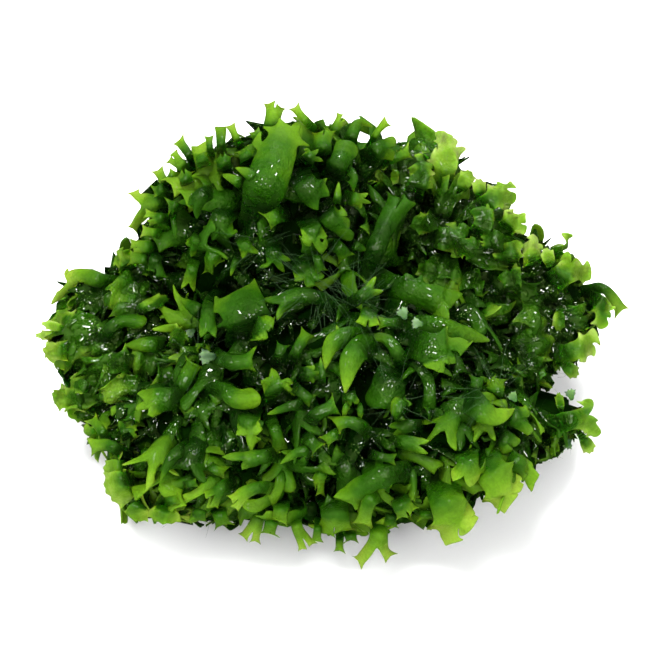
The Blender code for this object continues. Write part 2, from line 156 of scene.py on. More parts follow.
def inEdge(places):
    inside = np.zeros(len(places), bool)
    for (u1, v1), (u2, v2) in zip(clumpEdge, np.roll(clumpEdge, -1, axis=0)):
        crosses = (v1 > places[:, 1]) != (v2 > places[:, 1])
        inside ^= crosses & (places[:, 0] < (u2 - u1) * (places[:, 1] - v1) / (v2 - v1 + 1e-9) + u1)
    return inside


# Dark hollows between the large fronds, at their places in the picture: the small fronds lie deeper there, and small
# and large fronds there are painted darker, as painted shade
hollows = [(onSheet(middle), reach * sheet["pixel"]) for middle, reach in (
    ((292, 268), 34), ((345, 245), 22), ((440, 268), 36), ((482, 312), 32), ((410, 398), 28), ((280, 338), 18),
    ((506, 332), 24), ((215, 425), 20), ((160, 330), 20), ((225, 258), 16), ((330, 300), 22), ((395, 240), 18),
    ((470, 365), 22), ((255, 375), 18), ((130, 368), 34), ((132, 420), 24), ((310, 412), 26), ((395, 425), 24),
    ((395, 302), 26), ((458, 300), 32), ((262, 245), 26))]


def inHollow(onIt):  # 0 outside, 1 in the middle of a hollow
    return max(float(np.clip(1.4 - np.linalg.norm(onIt - middle) / reach, 0, 1)) for middle, reach in hollows)


# Modelling a frond flat, by extruding its end row of points


def deselectAll():
    bpy.ops.object.select_all(action="DESELECT")


def editAll():
    bpy.ops.object.mode_set(mode="EDIT")
    bpy.ops.mesh.select_all(action="SELECT")
    return bpy.context.object


def leaveEdit():
    bpy.ops.object.mode_set(mode="OBJECT")
    return bpy.context.object


def startGrid(columns, rows):
    deselectAll()
    bpy.ops.mesh.primitive_grid_add(x_subdivisions=columns, y_subdivisions=rows, size=1)
    return editAll()


def moveFlat(x, y):
    bpy.ops.transform.translate(value=(x, y, 0))


def scaleFlat(x, y, centre=(0, 0, 0)):
    bpy.ops.transform.resize(value=(x, y, 1), center_override=centre)


def turnFlat(angle, centre=(0, 0, 0)):  # with no window the operator turns the other way
    bpy.ops.transform.rotate(value=-angle, orient_axis="Z", center_override=centre)


def extrudeFlat(x, y):
    bpy.ops.mesh.extrude_region_move(TRANSFORM_OT_translate={"value": (x, y, 0)})


def smoothPath(points, count):
    points = [np.array(p, float) for p in points]
    ends = [2 * points[0] - points[1]] + points + [2 * points[-1] - points[-2]]
    out = []
    for i in range(len(points) - 1):
        a, b, c, d = ends[i:i + 4]
        for t in np.linspace(0, 1, count, endpoint=False):
            out.append(0.5 * (2 * b + (c - a) * t + (2 * a - 5 * b + 4 * c - d) * t * t
                              + (3 * b - a - 3 * c + d) * t ** 3))
    return np.array(out + [points[-1]])


def lengthsAlong(path):
    return np.concatenate(([0], np.cumsum(np.linalg.norm(np.diff(path, axis=0), axis=1))))


def evenly(path, step):
    lengths = lengthsAlong(path)
    at = np.linspace(0, lengths[-1], max(int(round(lengths[-1] / step)), 2) + 1)
    return np.stack([np.interp(at, lengths, path[:, i]) for i in range(path.shape[1])], axis=1)


def webbed(spec, share):
    # Moves a fork on towards its tips, so that a web fills the space between its arms
    if len(spec["tips"]) == 1:
        return spec
    trunk, tips = [np.array(p, float) for p in spec["trunk"]], np.array(spec["tips"], float)
    fork = trunk[-1] + (tips.mean(axis=0) - trunk[-1]) * share
    way = (fork - trunk[-1]) / max(np.linalg.norm(fork - trunk[-1]), 1e-6)
    spread = np.ptp(tips @ (way[1], -way[0]))
    forkWide = min(max(spread * 0.62, spec["wide"] * 1.08), spec["wide"] * 2)
    return {**spec, "trunk": np.array([*trunk, fork]), "tips": list(tips), "forkWide": forkWide}


def armPath(base, heading, tip):
    long = np.linalg.norm(tip - base)
    bend = base + unit(heading * 0.35 + (tip - base) / long * 0.65) * long * 0.5
    t = np.linspace(0, 1, 9)[:, None]
    return (1 - t) ** 2 * base + 2 * t * (1 - t) * bend + t * t * tip


class EndRow:  # the selected row of points at a growing frond's end
    def __init__(self, place, heading, wide):
        self.place, self.heading, self.wide = np.array(place, float), np.array(heading, float), wide

    def grow(self, place, wide):
        place = np.array(place, float)
        step = place - self.place
        way = step / max(np.linalg.norm(step), 1e-6)
        extrudeFlat(*step)
        centre = (place[0], place[1], 0)
        turnFlat(math.atan2(self.heading[0] * way[1] - self.heading[1] * way[0], self.heading @ way), centre)
        scaleFlat(wide / self.wide, wide / self.wide, centre)
        self.place, self.heading, self.wide = place, way, wide


def selectOnly(mesh, indices):
    shape = bmesh.from_edit_mesh(mesh)
    shape.verts.ensure_lookup_table()
    for element in [*shape.verts, *shape.edges, *shape.faces]:
        element.select = False
    for index in indices:
        shape.verts[index].select = True
    shape.select_flush(True)
    bmesh.update_edit_mesh(mesh)


def rowPoints(mesh, heading):  # the selected points, from left to right
    shape = bmesh.from_edit_mesh(mesh)
    shape.verts.index_update()
    chosen = [v for v in shape.verts if v.select]
    chosen.sort(key=lambda v: v.co.x * heading[1] - v.co.y * heading[0])
    return [v.index for v in chosen]


# Ends of an arm: its last widths as shares of its own, and how far the end's middle stands out (or in, as a notch)
frondEnds = {
    "notch": {"widths": (1, 0.92, 0.95, 1.9), "middle": -0.36},
    "round": {"widths": (1, 0.98, 1.2, 1.05), "middle": 0.12},
    "point": {"widths": (1, 0.85, 0.58, 0.16), "middle": 0.9},
    "star": {"widths": (1, 0.8, 0.5, 0.14), "middle": 0.9},
    "flat": {"widths": (1, 1, 1.1, 1.3), "middle": -0.1},
    "fold": {"widths": (1.1, 1.12, 0.86, 0.62), "middle": -0.2},
    "web": {"widths": (1.05, 1.12, 1, 1), "middle": -0.32},
}
armShares = (0.62, 0.52, 0.46, 0.38)  # an arm's width as a share of its trunk's, with two tips or more


def finishEnd(mesh, row, end, rng):
    points = rowPoints(mesh, row.heading)
    out = frondEnds[end]["middle"] * row.wide
    if len(points) > 2:
        selectOnly(mesh, points[1:-1])
        moveFlat(row.heading[0] * out, row.heading[1] * out)
    for point in points:
        selectOnly(mesh, [point])
        moveFlat(*(rng.normal(0, 0.09, 2) * max(row.wide, 0.6)))


def sideTeeth(mesh, spine, count, reach, rng):
    # Draws a few edges of the margin out to small points
    for _ in range(count):
        shape = bmesh.from_edit_mesh(mesh)
        shape.verts.index_update()
        rims = [e for e in shape.edges if len(e.link_faces) == 1 and e.calc_length() > 0.35 * reach]
        along = alongSpine(np.array([((e.verts[0].co + e.verts[1].co) / 2).xy for e in rims]), spine)[0]
        rims = [e for e, share in zip(rims, along) if 0.45 < share < 0.93]
        if not rims:
            return
        edge = rims[int(rng.integers(len(rims)))]
        middle = (edge.verts[0].co + edge.verts[1].co) / 2
        out = middle - edge.link_faces[0].calc_center_median()
        out = out.normalized() * reach * rng.uniform(0.6, 1.2)
        selectOnly(mesh, [v.index for v in edge.verts])
        extrudeFlat(out.x, out.y)
        scaleFlat(0.3, 0.3, (middle.x + out.x, middle.y + out.y, 0))


def modelFrond(spec, step, lanesEach, rng, teeth):
    # trunk: places from the root to the fork. tips: where its arms end. wide: of the trunk
    trunk, tips, wide = np.array(spec["trunk"], float), [np.array(t, float) for t in spec["tips"]], spec["wide"]
    widths = frondEnds[spec["end"]]["widths"]
    rootWide, forkWide = wide * 1.25, spec.get("forkWide", wide * 1.35) / wide
    single = len(tips) == 1

    def ragged():
        return float(rng.uniform(0.9, 1.1))

    path = evenly(smoothPath([*trunk, tips[0]] if single else trunk, 6), step)
    lanes = lanesEach * (2 if single and wide > 4 else len(tips))
    heading = unit(path[1] - path[0])
    made = startGrid(lanes, 1)
    mesh = made.data
    bpy.ops.transform.resize(value=(rootWide, np.linalg.norm(path[1] - path[0]), 1))
    turnFlat(math.atan2(-heading[0], heading[1]))
    moveFlat(*((path[0] + path[1]) / 2))
    points = sorted(bmesh.from_edit_mesh(mesh).verts, key=lambda v: v.co.x * heading[0] + v.co.y * heading[1])
    selectOnly(mesh, [v.index for v in points[-(lanes + 1):]])
    row = EndRow(path[1], heading, rootWide)
    rows = len(path) - 1
    for i in range(2, rows + 1):
        if single:
            now = wide * np.interp(i / rows, (0, 0.3, 0.6, 0.82, 1), (1.25, *widths)) * ragged()
        else:
            now = wide * np.interp(i / rows, (0, 0.35, 0.6, 1), (1.25, 0.92, 0.95, forkWide))
            now *= ragged() if i < rows else 1
        row.grow(path[i], now)
    if single:
        finishEnd(mesh, row, spec["end"], rng)
    else:
        forkRow = rowPoints(mesh, row.heading)
        places = {v.index: np.array(v.co.xy) for v in bmesh.from_edit_mesh(mesh).verts}
        fork, ahead = row.place, row.heading
        tips.sort(key=lambda t: math.atan2((t - fork)[0] * ahead[1] - (t - fork)[1] * ahead[0], (t - fork) @ ahead))
        for i, tip in enumerate(tips):
            group = forkRow[i * lanesEach:(i + 1) * lanesEach + 1]
            selectOnly(mesh, group)
            base = (places[group[0]] + places[group[-1]]) / 2
            armWide = np.linalg.norm(places[group[0]] - places[group[-1]])
            slim = wide * armShares[len(tips) - 2]
            arm = evenly(armPath(base, ahead, tip), step)
            row = EndRow(base, ahead, armWide)
            for j in range(1, len(arm)):
                share = j / (len(arm) - 1)
                fall = armWide + (slim - armWide) * min(share * 2, 1)
                row.grow(arm[j], fall * np.interp(share, (0, 0.5, 0.8, 1), widths) * ragged())
            finishEnd(mesh, row, spec["end"], rng)
    sideTeeth(mesh, spineOf(spec), teeth, wide * 0.32, rng)
    return leaveEdit()


def finishWith(made, name, kind, **settings):
    modifier = made.modifiers.new(name, kind)
    for label, value in settings.items():
        setattr(modifier, label, value)
    bpy.ops.object.modifier_apply(modifier=modifier.name)


def thicken(made, thick, levels):
    finishWith(made, "wall", "SOLIDIFY", thickness=thick, offset=0)
    if levels:
        finishWith(made, "soft", "SUBSURF", levels=levels, render_levels=levels)


def readAll(items, label, kind, width=1):
    values = np.empty(len(items) * width, kind)
    items.foreach_get(label, values)
    return values.reshape(-1, width) if width > 1 else values


def takeShape(made, spec):
    # A modelled shape as arrays: its faces, flat map and points, with how far each is along its arm and across it
    mesh = made.data
    points, normals = (readAll(mesh.vertices, label, float, 3) for label in ("co", "normal"))
    corners, sizes = readAll(mesh.loops, "vertex_index", np.int32), readAll(mesh.polygons, "loop_total", np.int32)
    isTop = np.repeat(readAll(mesh.polygons, "normal", float, 3)[:, 2] >= 0, sizes)
    spread = np.ptp(points[:, 1]) * 0.035
    push = normals[corners, :2] * (1 - np.where(isTop, 1, -1) * normals[corners, 2])[:, None] * spread
    flat = points[corners, :2] + push
    flat = (flat - flat.min(axis=0)) / np.ptp(flat, axis=0)
    flat = flat * (0.46, 0.96) + np.where(isTop, 0.02, 0.52)[:, None] * (1, 0) + (0, 0.02)
    along, across, arm = alongSpine(points[:, :2], spineOf(spec))
    bpy.data.objects.remove(made)
    bpy.data.meshes.remove(mesh)
    return {"points": points, "corners": corners, "sizes": sizes, "flat": flat, "age": along, "across": across,
            "side": across / (spec["wide"] / 2), "arm": arm}


def spineOf(spec):
    # The frond's middle lines: starts and ends of short segments, their shares of the way to a tip, and which arm
    trunk, tips = [np.array(p, float) for p in spec["trunk"]], [np.array(t, float) for t in spec["tips"]]
    rows = []
    for i, tip in enumerate(tips):
        if len(tips) == 1:
            path = smoothPath([*trunk, tip], 8)
        else:
            main = smoothPath(trunk, 8)
            path = np.concatenate((main, armPath(trunk[-1], unit(main[-1] - main[-2]), tip)[1:]))
        share = lengthsAlong(path)
        share = share / share[-1]
        rows.append((path[:-1], path[1:], share[:-1], share[1:], np.full(len(path) - 1, i)))
    return [np.concatenate(column) for column in zip(*rows)]


def alongSpine(places, spine):
    starts, ends, low, high, arm = spine
    step = ends - starts
    at = ((places[:, None] - starts) * step).sum(axis=2) / np.maximum((step ** 2).sum(axis=1), 1e-9)
    at = np.clip(at, 0, 1)
    near = starts + at[:, :, None] * step
    away = places[:, None] - near
    far = np.linalg.norm(away, axis=2)
    best = far.argmin(axis=1)
    rows = np.arange(len(places))
    share = low[best] + (high - low)[best] * at[rows, best]
    turn = step[best, 0] * away[rows, best, 1] - step[best, 1] * away[rows, best, 0]
    return share, -np.sign(turn) * far[rows, best], arm[best]


# Large fronds by colony, back ones first. Each has its places from the root to the fork, its tips, its width in
# pixels, its end, how light it is (partly fresh growth, partly painted light and shade) and, where it is one, the
# CAD node that it stands for
largeFronds = {
    "crown_colony": [
        ([(268, 142), (273, 116)], [(268, 99), (283, 101)], 17, "notch", 1, "crown_top_fork"),
        ([(318, 134), (300, 115)], [(292, 103)], 9, "notch", 1),
        ([(330, 142), (336, 126)], [(340, 111), (347, 121)], 10, "notch", 1),
        ([(346, 156), (351, 136), (359, 121)], [(371, 126)], 15, "point", 0.6, "crown_right_horn"),
        ([(366, 152), (377, 131)], [(389, 118)], 8, "notch", 0.9, "crown_finger"),
        ([(362, 162), (378, 150)], [(395, 140), (393, 154)], 20, "round", 0.7),
        ([(376, 163), (395, 157)], [(413, 149)], 11, "notch", 0.7),
        ([(242, 150), (235, 136)], [(229, 122)], 8, "notch", 1),
        ([(222, 160), (221, 142)], [(221, 126)], 10, "flat", 0.7),
        ([(212, 160), (210, 148)], [(209, 134)], 7, "notch", 0.8),
        ([(196, 168), (187, 152)], [(175, 136)], 10, "notch", 1, "crown_left_horn"),
        ([(170, 194), (163, 180)], [(155, 165)], 10, "notch", 1),
        ([(166, 186), (172, 176)], [(176, 167)], 9, "notch", 0.9),
        ([(262, 145), (256, 134)], [(251, 126)], 12, "notch", 0.6),
        ([(206, 172), (202, 160)], [(199, 149)], 14, "notch", 0.4),
        ([(180, 198), (164, 200), (151, 203)], [(132, 186), (130, 232)], 16, "notch", 1, "crown_left_fork"),
        ([(176, 222), (162, 218)], [(143, 212), (146, 224)], 11, "notch", 0.95),
        ([(168, 236), (152, 232)], [(138, 230)], 10, "notch", 0.9),
        ([(170, 182), (160, 190)], [(149, 192)], 11, "notch", 0.8),
        ([(192, 176), (180, 164)], [(166, 158), (172, 150)], 12, "notch", 0.95),
        ([(164, 250), (146, 246)], [(128, 243), (131, 253)], 13, "notch", 0.85),
        ([(160, 262), (142, 258)], [(124, 257)], 12, "notch", 0.8),
        ([(182, 214), (176, 206)], [(164, 207)], 12, "notch", 0.5),
        ([(190, 190), (186, 180)], [(178, 172), (190, 168)], 13, "notch", 0.7),
        ([(226, 176), (224, 164)], [(215, 156), (230, 152)], 14, "notch", 0.6),
        ([(250, 168), (246, 158)], [(240, 148), (252, 147)], 14, "notch", 0.5),
        ([(330, 184), (338, 164)], [(349, 143)], 22, "round", 0.5, "crown_round_lobe"),
        ([(325, 165), (322, 145)], [(316, 128), (331, 126)], 18, "notch", 0.8),
        ([(302, 168), (308, 158)], [(304, 150), (318, 150), (322, 161)], 14, "point", 0.8),
        ([(260, 240), (260, 206), (272, 168)], [(291, 121)], 37, "fold", 0.66, "crown_blade"),
        ([(262, 190), (250, 175)], [(237, 169)], 15, "point", 0.7),
        ([(294, 164), (304, 184)], [(328, 196), (317, 209)], 26, "point", 0.35, "crown_right_fork"),
        ([(336, 168), (349, 170), (354, 180)], [(346, 189)], 10, "notch", 0.6),
        ([(335, 212), (337, 197)], [(338, 183)], 9, "point", 0.7),
        ([(340, 196), (354, 199)], [(367, 193), (370, 203), (359, 208)], 13, "point", 0.7),
        ([(318, 204), (330, 218)], [(343, 211), (349, 224), (352, 238)], 24, "round", 0.5),
        ([(324, 242), (338, 247)], [(348, 262)], 15, "notch", 0.6),
        ([(346, 240), (355, 246)], [(366, 250)], 11, "point", 0.5),
        ([(250, 190), (236, 181)], [(223, 175)], 12, "point", 0.5),
        ([(226, 188), (204, 195)], [(179, 202), (197, 219)], 17, "point", 0.4, "crown_dark_strap"),
        ([(236, 200), (223, 216)], [(204, 227), (212, 240), (224, 236), (237, 232)], 26, "star", 0.4, "crown_star"),
        ([(290, 210), (276, 217)], [(262, 225)], 18, "notch", 0.7),
        ([(172, 206), (174, 222)], [(176, 238)], 8, "point", 0.6),
        ([(205, 230), (196, 241)], [(186, 243), (191, 256)], 15, "point", 0.5),
        ([(303, 210), (309, 225)], [(302, 238), (321, 254), (326, 236)], 22, "star", 0.6, "crown_claw"),
        ([(218, 238), (213, 256)], [(208, 277), (221, 266)], 17, "notch", 0.6),
        ([(240, 230), (244, 244)], [(242, 258), (258, 253)], 14, "point", 0.4),
        ([(242, 252), (235, 262)], [(231, 275)], 8, "point", 0.9),
        ([(277, 232), (273, 250)], [(260, 267), (284, 272), (290, 260)], 18, "point", 0.5),
        ([(197, 250), (192, 270)], [(181, 288), (194, 290)], 12, "point", 0.7, "crown_left_pendant"),
        ([(298, 250), (302, 266)], [(299, 281), (311, 287), (321, 280)], 22, "round", 0.6, "crown_pendant"),
        ([(314, 243), (317, 260)], [(322, 275)], 10, "notch", 0.5),
        ([(162, 245), (155, 260)], [(150, 275), (162, 278)], 14, "notch", 0.3),
    ],
    "right_shoulder_colony": [
        ([(440, 196), (446, 162)], [(441, 129), (454, 137), (463, 150)], 24, "round", 1, "shoulder_top_ruffle"),
        ([(458, 196), (464, 182)], [(470, 170)], 16, "round", 0.8),
        ([(480, 204), (479, 190)], [(478, 179)], 13, "round", 1),
        ([(474, 216), (489, 201)], [(501, 182), (514, 198)], 20, "round", 0.9, "shoulder_ruffle"),
        ([(500, 235), (510, 222)], [(519, 215), (526, 231)], 18, "round", 0.7),
        ([(410, 200), (418, 180)], [(412, 165), (428, 162)], 20, "round", 0.6),
        ([(420, 236), (440, 238)], [(466, 226), (456, 256)], 24, "round", 0.4, "shoulder_inner_ruffle"),
        ([(440, 215), (430, 222)], [(418, 216), (416, 230)], 20, "round", 0.4),
        ([(462, 262), (470, 275)], [(458, 284), (482, 285)], 22, "round", 0.3),
        ([(360, 288), (372, 256), (388, 220)], [(396, 190), (412, 197)], 21, "notch", 0.4, "shoulder_strap"),
        ([(368, 280), (398, 287), (426, 296)], [(461, 294), (447, 321)], 27, "point", 0.3, "valley_strap"),
        ([(470, 242), (482, 226)], [(474, 209), (493, 213)], 20, "round", 0.5),
        ([(489, 262), (494, 248)], [(484, 233), (503, 238)], 20, "round", 0.4),
        ([(446, 250), (458, 246)], [(474, 239), (470, 257)], 18, "round", 0.35),
        ([(404, 176), (398, 168)], [(392, 176)], 14, "round", 0.5),
        ([(508, 272), (508, 258)], [(503, 243), (516, 242)], 22, "round", 0.7),
        ([(536, 268), (531, 255)], [(525, 243), (539, 244)], 20, "round", 0.8),
    ],
    "right_colony": [
        ([(552, 272), (549, 260)], [(545, 249)], 12, "round", 0.8),
        ([(508, 302), (512, 288)], [(500, 273), (520, 277)], 20, "round", 0.5),
        ([(545, 288), (560, 276)], [(564, 255), (580, 262), (590, 274)], 24, "round", 0.9, "right_scallop"),
        ([(582, 292), (602, 287), (614, 297)], [(626, 315)], 12, "notch", 1, "right_tip"),
        ([(588, 300), (600, 300)], [(610, 306), (604, 327)], 18, "round", 0.8),
        ([(560, 300), (563, 315)], [(558, 330)], 12, "round", 0.5),
        ([(546, 350), (565, 353)], [(597, 333), (596, 350)], 20, "round", 0.8, "right_fingers"),
        ([(556, 358), (567, 366)], [(577, 375)], 13, "point", 0.5),
        ([(520, 345), (530, 360)], [(545, 372), (528, 378)], 20, "round", 0.2),
    ],
    "left_colony": [
        ([(122, 286), (100, 280), (80, 275)], [(66, 268), (49, 303)], 17, "point", 1.15, "left_top_strap"),
        ([(84, 330), (68, 320)], [(54, 320), (62, 309)], 14, "round", 0.8),
        ([(78, 334), (58, 333)], [(34, 335)], 9, "point", 1, "left_tip"),
        ([(72, 330), (56, 327)], [(42, 323)], 9, "point", 1),
        ([(76, 350), (60, 350)], [(51, 341), (49, 360)], 20, "round", 0.7),
        ([(100, 402), (76, 399)], [(51, 393), (54, 402), (75, 418)], 24, "point", 0.6, "left_low_point"),
        ([(95, 390), (85, 385)], [(75, 384)], 14, "round", 0.4),
        ([(130, 275), (125, 262)], [(114, 260), (124, 250)], 18, "round", 0.6),
        ([(97, 354), (106, 334), (120, 321)], [(145, 322)], 14, "round", 0.5, "left_arc"),
        ([(122, 316), (148, 312)], [(169, 296)], 12, "round", 0.5),
        ([(172, 350), (156, 344)], [(126, 345)], 19, "point", 0.6, "left_leaf"),
        ([(172, 354), (176, 344)], [(171, 331), (187, 335)], 16, "round", 0.6),
        ([(140, 368), (128, 362)], [(112, 358), (110, 368)], 20, "round", 0.3),
    ],
    "middle_colony": [
        ([(394, 330), (430, 327), (458, 332)], [(487, 340)], 26, "point", 0.3),
        ([(404, 380), (397, 354), (385, 338)], [(364, 337)], 16, "point", 0.5),
        ([(392, 338), (416, 344)], [(466, 342), (453, 362), (437, 370)], 36, "star", 0.35, "big_fan"),
        ([(410, 322), (392, 322)], [(375, 322)], 10, "notch", 0.4),
        ([(372, 300), (368, 313)], [(360, 324), (374, 327)], 18, "flat", 0.8),
        ([(342, 308), (358, 298)], [(375, 277), (382, 291)], 14, "point", 0.8),
        ([(350, 318), (324, 300), (298, 295)], [(261, 299), (277, 319)], 17, "point", 0.5, "long_arch"),
        ([(252, 346), (248, 320)], [(231, 283)], 44, "web", 0.62, "broad_leaf"),
        ([(244, 326), (256, 328)], [(272, 318), (263, 338)], 24, "star", 0.4),
        ([(228, 292), (212, 298), (208, 318)], [(201, 336), (216, 336)], 16, "point", 0.7),
        ([(210, 318), (198, 310)], [(181, 299)], 17, "point", 0.6),
        ([(204, 352), (203, 342)], [(196, 346), (208, 348)], 12, "point", 0.6),
        ([(202, 346), (230, 361)], [(258, 359)], 17, "notch", 0.6),
        ([(343, 342), (339, 334)], [(336, 325)], 10, "point", 0.8),
        ([(374, 350), (350, 337), (331, 343)], [(325, 367)], 24, "point", 0.8, "upper_claw"),
        ([(388, 356), (366, 345), (350, 359)], [(345, 389)], 28, "point", 0.85, "lower_claw"),
        ([(290, 370), (297, 349)], [(310, 328)], 13, "notch", 0.6, "centre_strap"),
        ([(272, 366), (279, 354)], [(284, 339)], 11, "notch", 0.6),
        ([(294, 374), (306, 373)], [(314, 365), (321, 372), (313, 382)], 15, "point", 0.7),
        ([(320, 392), (322, 376)], [(320, 357)], 8, "point", 0.6),
        ([(282, 402), (276, 388)], [(262, 380), (272, 368), (292, 382)], 26, "point", 0.6, "small_fan"),
        ([(286, 380), (299, 390)], [(315, 403)], 12, "notch", 0.6),
        ([(400, 362), (390, 376), (386, 392)], [(380, 405)], 34, "round", 0.0),
        ([(345, 384), (349, 394)], [(357, 403), (349, 405)], 13, "point", 0.6),
        ([(356, 402), (346, 404)], [(343, 417)], 9, "point", 0.8),
        ([(350, 402), (359, 405)], [(359, 419)], 9, "point", 0.8),
        ([(320, 404), (294, 404)], [(268, 413)], 12, "point", 0.7),
        ([(266, 410), (275, 428)], [(281, 450)], 13, "flat", 0.1),
        ([(302, 434), (315, 414)], [(340, 402)], 15, "notch", 0.5),
        ([(252, 400), (249, 417)], [(237, 433), (252, 449), (262, 428)], 22, "point", 0.8, "hanging_tee"),
        ([(374, 444), (362, 426), (346, 420)], [(330, 426)], 14, "notch", 0.6, "low_arch"),
        ([(350, 433), (336, 432)], [(320, 443)], 12, "notch", 0.6),
        ([(298, 428), (310, 439)], [(322, 451)], 14, "notch", 0.7),
        ([(430, 425), (410, 424)], [(392, 433), (388, 425)], 14, "point", 0.6),
        ([(408, 415), (398, 408)], [(390, 404)], 20, "round", 0.4),
        ([(380, 442), (400, 440)], [(427, 439), (426, 452)], 14, "point", 0.6),
        ([(362, 450), (380, 455)], [(397, 458)], 10, "notch", 0.6),
        ([(434, 412), (428, 412)], [(421, 414)], 12, "notch", 0.6),
        ([(326, 460), (303, 449)], [(281, 461)], 13, "point", 0.6),
    ],
    "front_left_colony": [
        ([(172, 404), (182, 384)], [(198, 357)], 17, "notch", 0.5),
        ([(194, 400), (166, 398)], [(139, 393), (137, 408), (149, 413)], 26, "point", 0.5),
        ([(202, 402), (220, 388), (238, 398)], [(258, 396)], 20, "round", 0.75, "curled_strap"),
        ([(112, 444), (102, 430)], [(89, 414)], 10, "notch", 0.9),
        ([(132, 458), (110, 444)], [(87, 446)], 13, "notch", 0.9),
        ([(132, 440), (126, 430)], [(120, 420), (135, 432)], 13, "point", 0.6),
        ([(132, 462), (116, 464)], [(103, 464), (107, 475)], 18, "ruffle", 0.9),
        ([(142, 476), (124, 480)], [(98, 480), (105, 491), (120, 505)], 28, "ruffle", 0.9, "rim_lobe"),
        ([(146, 494), (136, 506)], [(128, 519), (143, 517)], 22, "ruffle", 0.9),
        ([(168, 496), (166, 511)], [(150, 520), (178, 521)], 20, "ruffle", 0.8),
        ([(206, 418), (201, 440)], [(155, 467), (208, 482)], 22, "point", 0.45, "dark_fork"),
        ([(200, 440), (180, 450), (170, 460)], [(162, 478)], 15, "point", 0.6),
        ([(204, 456), (214, 467)], [(230, 472)], 11, "notch", 0.5),
        ([(242, 477), (223, 485)], [(203, 494), (213, 508)], 13, "notch", 0.8),
        ([(178, 486), (190, 482)], [(202, 480)], 8, "notch", 0.7),
        ([(158, 504), (170, 499)], [(184, 496)], 10, "notch", 0.8),
        ([(202, 500), (200, 510)], [(198, 523)], 15, "notch", 0.5),
        ([(216, 500), (221, 514)], [(225, 530)], 17, "notch", 0.45),
        ([(288, 452), (262, 455)], [(243, 467), (223, 455)], 17, "point", 0.6),
        ([(288, 494), (264, 485), (246, 490)], [(229, 499), (234, 508)], 14, "notch", 0.8),
        ([(264, 498), (257, 520)], [(241, 538), (255, 544)], 15, "notch", 0.8, "rim_finger"),
        ([(274, 508), (271, 522)], [(267, 538)], 15, "notch", 0.5),
        ([(282, 492), (281, 508)], [(277, 525)], 17, "notch", 0.7),
        ([(292, 503), (297, 526)], [(303, 550), (314, 546)], 13, "notch", 0.8, "rim_short_strap"),
    ],
    "front_right_colony": [
        ([(320, 512), (317, 528)], [(316, 544)], 9, "notch", 0.7),
        ([(330, 488), (335, 512)], [(322, 536), (345, 538)], 30, "notch", 0.6),
        ([(340, 526), (339, 540)], [(339, 554)], 9, "notch", 0.8),
        ([(348, 524), (350, 534)], [(352, 545)], 12, "notch", 0.7),
        ([(326, 462), (318, 478)], [(312, 483), (320, 497)], 13, "notch", 0.8),
        ([(394, 506), (390, 516)], [(388, 528)], 14, "notch", 0.5),
        ([(426, 504), (425, 513)], [(424, 522)], 14, "notch", 0.5),
        ([(378, 503), (378, 532)], [(355, 563), (393, 558)], 19, "notch", 0.9, "bottom_fork"),
        ([(396, 486), (400, 501)], [(402, 520), (416, 512)], 19, "notch", 0.85),
        ([(396, 490), (370, 497)], [(361, 528)], 16, "notch", 0.8),
        ([(430, 472), (396, 470), (364, 483)], [(334, 495), (355, 507)], 23, "point", 0.55, "big_low_strap"),
        ([(492, 432), (502, 437)], [(516, 443), (506, 451)], 20, "round", 0.6),
        ([(498, 410), (512, 415)], [(526, 409), (530, 431)], 22, "round", 0.6),
        ([(496, 452), (515, 461)], [(531, 466), (521, 479)], 20, "point", 0.6),
        ([(476, 440), (490, 470)], [(502, 510), (520, 483)], 36, "star", 0.85, "front_right_fan"),
        ([(462, 440), (466, 460)], [(452, 478), (468, 484)], 26, "point", 0.7),
        ([(438, 466), (445, 498)], [(445, 542), (475, 516)], 38, "star", 0.85, "front_fan"),
        ([(488, 402), (494, 390)], [(486, 376), (499, 376)], 18, "notch", 0.5),
        ([(470, 396), (475, 384)], [(476, 373)], 13, "notch", 0.5),
        ([(452, 384), (470, 400), (490, 416)], [(512, 409)], 29, "point", 1.1, "horn"),
        ([(440, 385), (446, 392)], [(450, 398)], 12, "notch", 0.3),
    ],
    "small_sprig": [
        ([(562, 418), (560, 406)], [(558, 393)], 8, "round", 0.8),
        ([(546, 426), (568, 420)], [(588, 398), (597, 435)], 20, "round", 0.7, "sprig_frond"),
        ([(578, 430), (584, 440)], [(591, 452)], 13, "round", 0.8),
    ],
}

frondLook = {
    "thick": 0.58, "thinThick": 0.26, "leastThick": 0.36, "sink": 5.0, "arch": 1.4, "tipLift": 0.6, "fall": 0.9,
    "climb": 1.6, "edgeDrop": 0.42, "thinEdge": 0.3, "clear": 0.35, "mostRaise": 4.0,
    "web": {"star": 0.8, "point": 0.6}, "otherWeb": 0.42, "thinWeb": 0.7,
    "bigFrom": 2.9, "bigStep": 1.0, "thinStep": 0.8, "smallStep": 0.75, "lowerEdge": (18, 27),
}


class HeightMap:  # the top of what is already laid down, over the sheet
    def __init__(self):
        self.cell, self.half = 0.5, 52
        side = int(2 * self.half / self.cell)
        self.top = np.full((side, side), 2.0 * bare)

    def at(self, places):
        index = np.clip(((places + self.half) / self.cell).astype(int), 1, len(self.top) - 2)
        return index[:, 0], index[:, 1]

    def read(self, places):
        return self.top[self.at(places)]

    def add(self, places, heights):
        i, j = self.at(places)
        for di in (-1, 0, 1):
            for dj in (-1, 0, 1):
                np.maximum.at(self.top, (i + di, j + dj), heights)


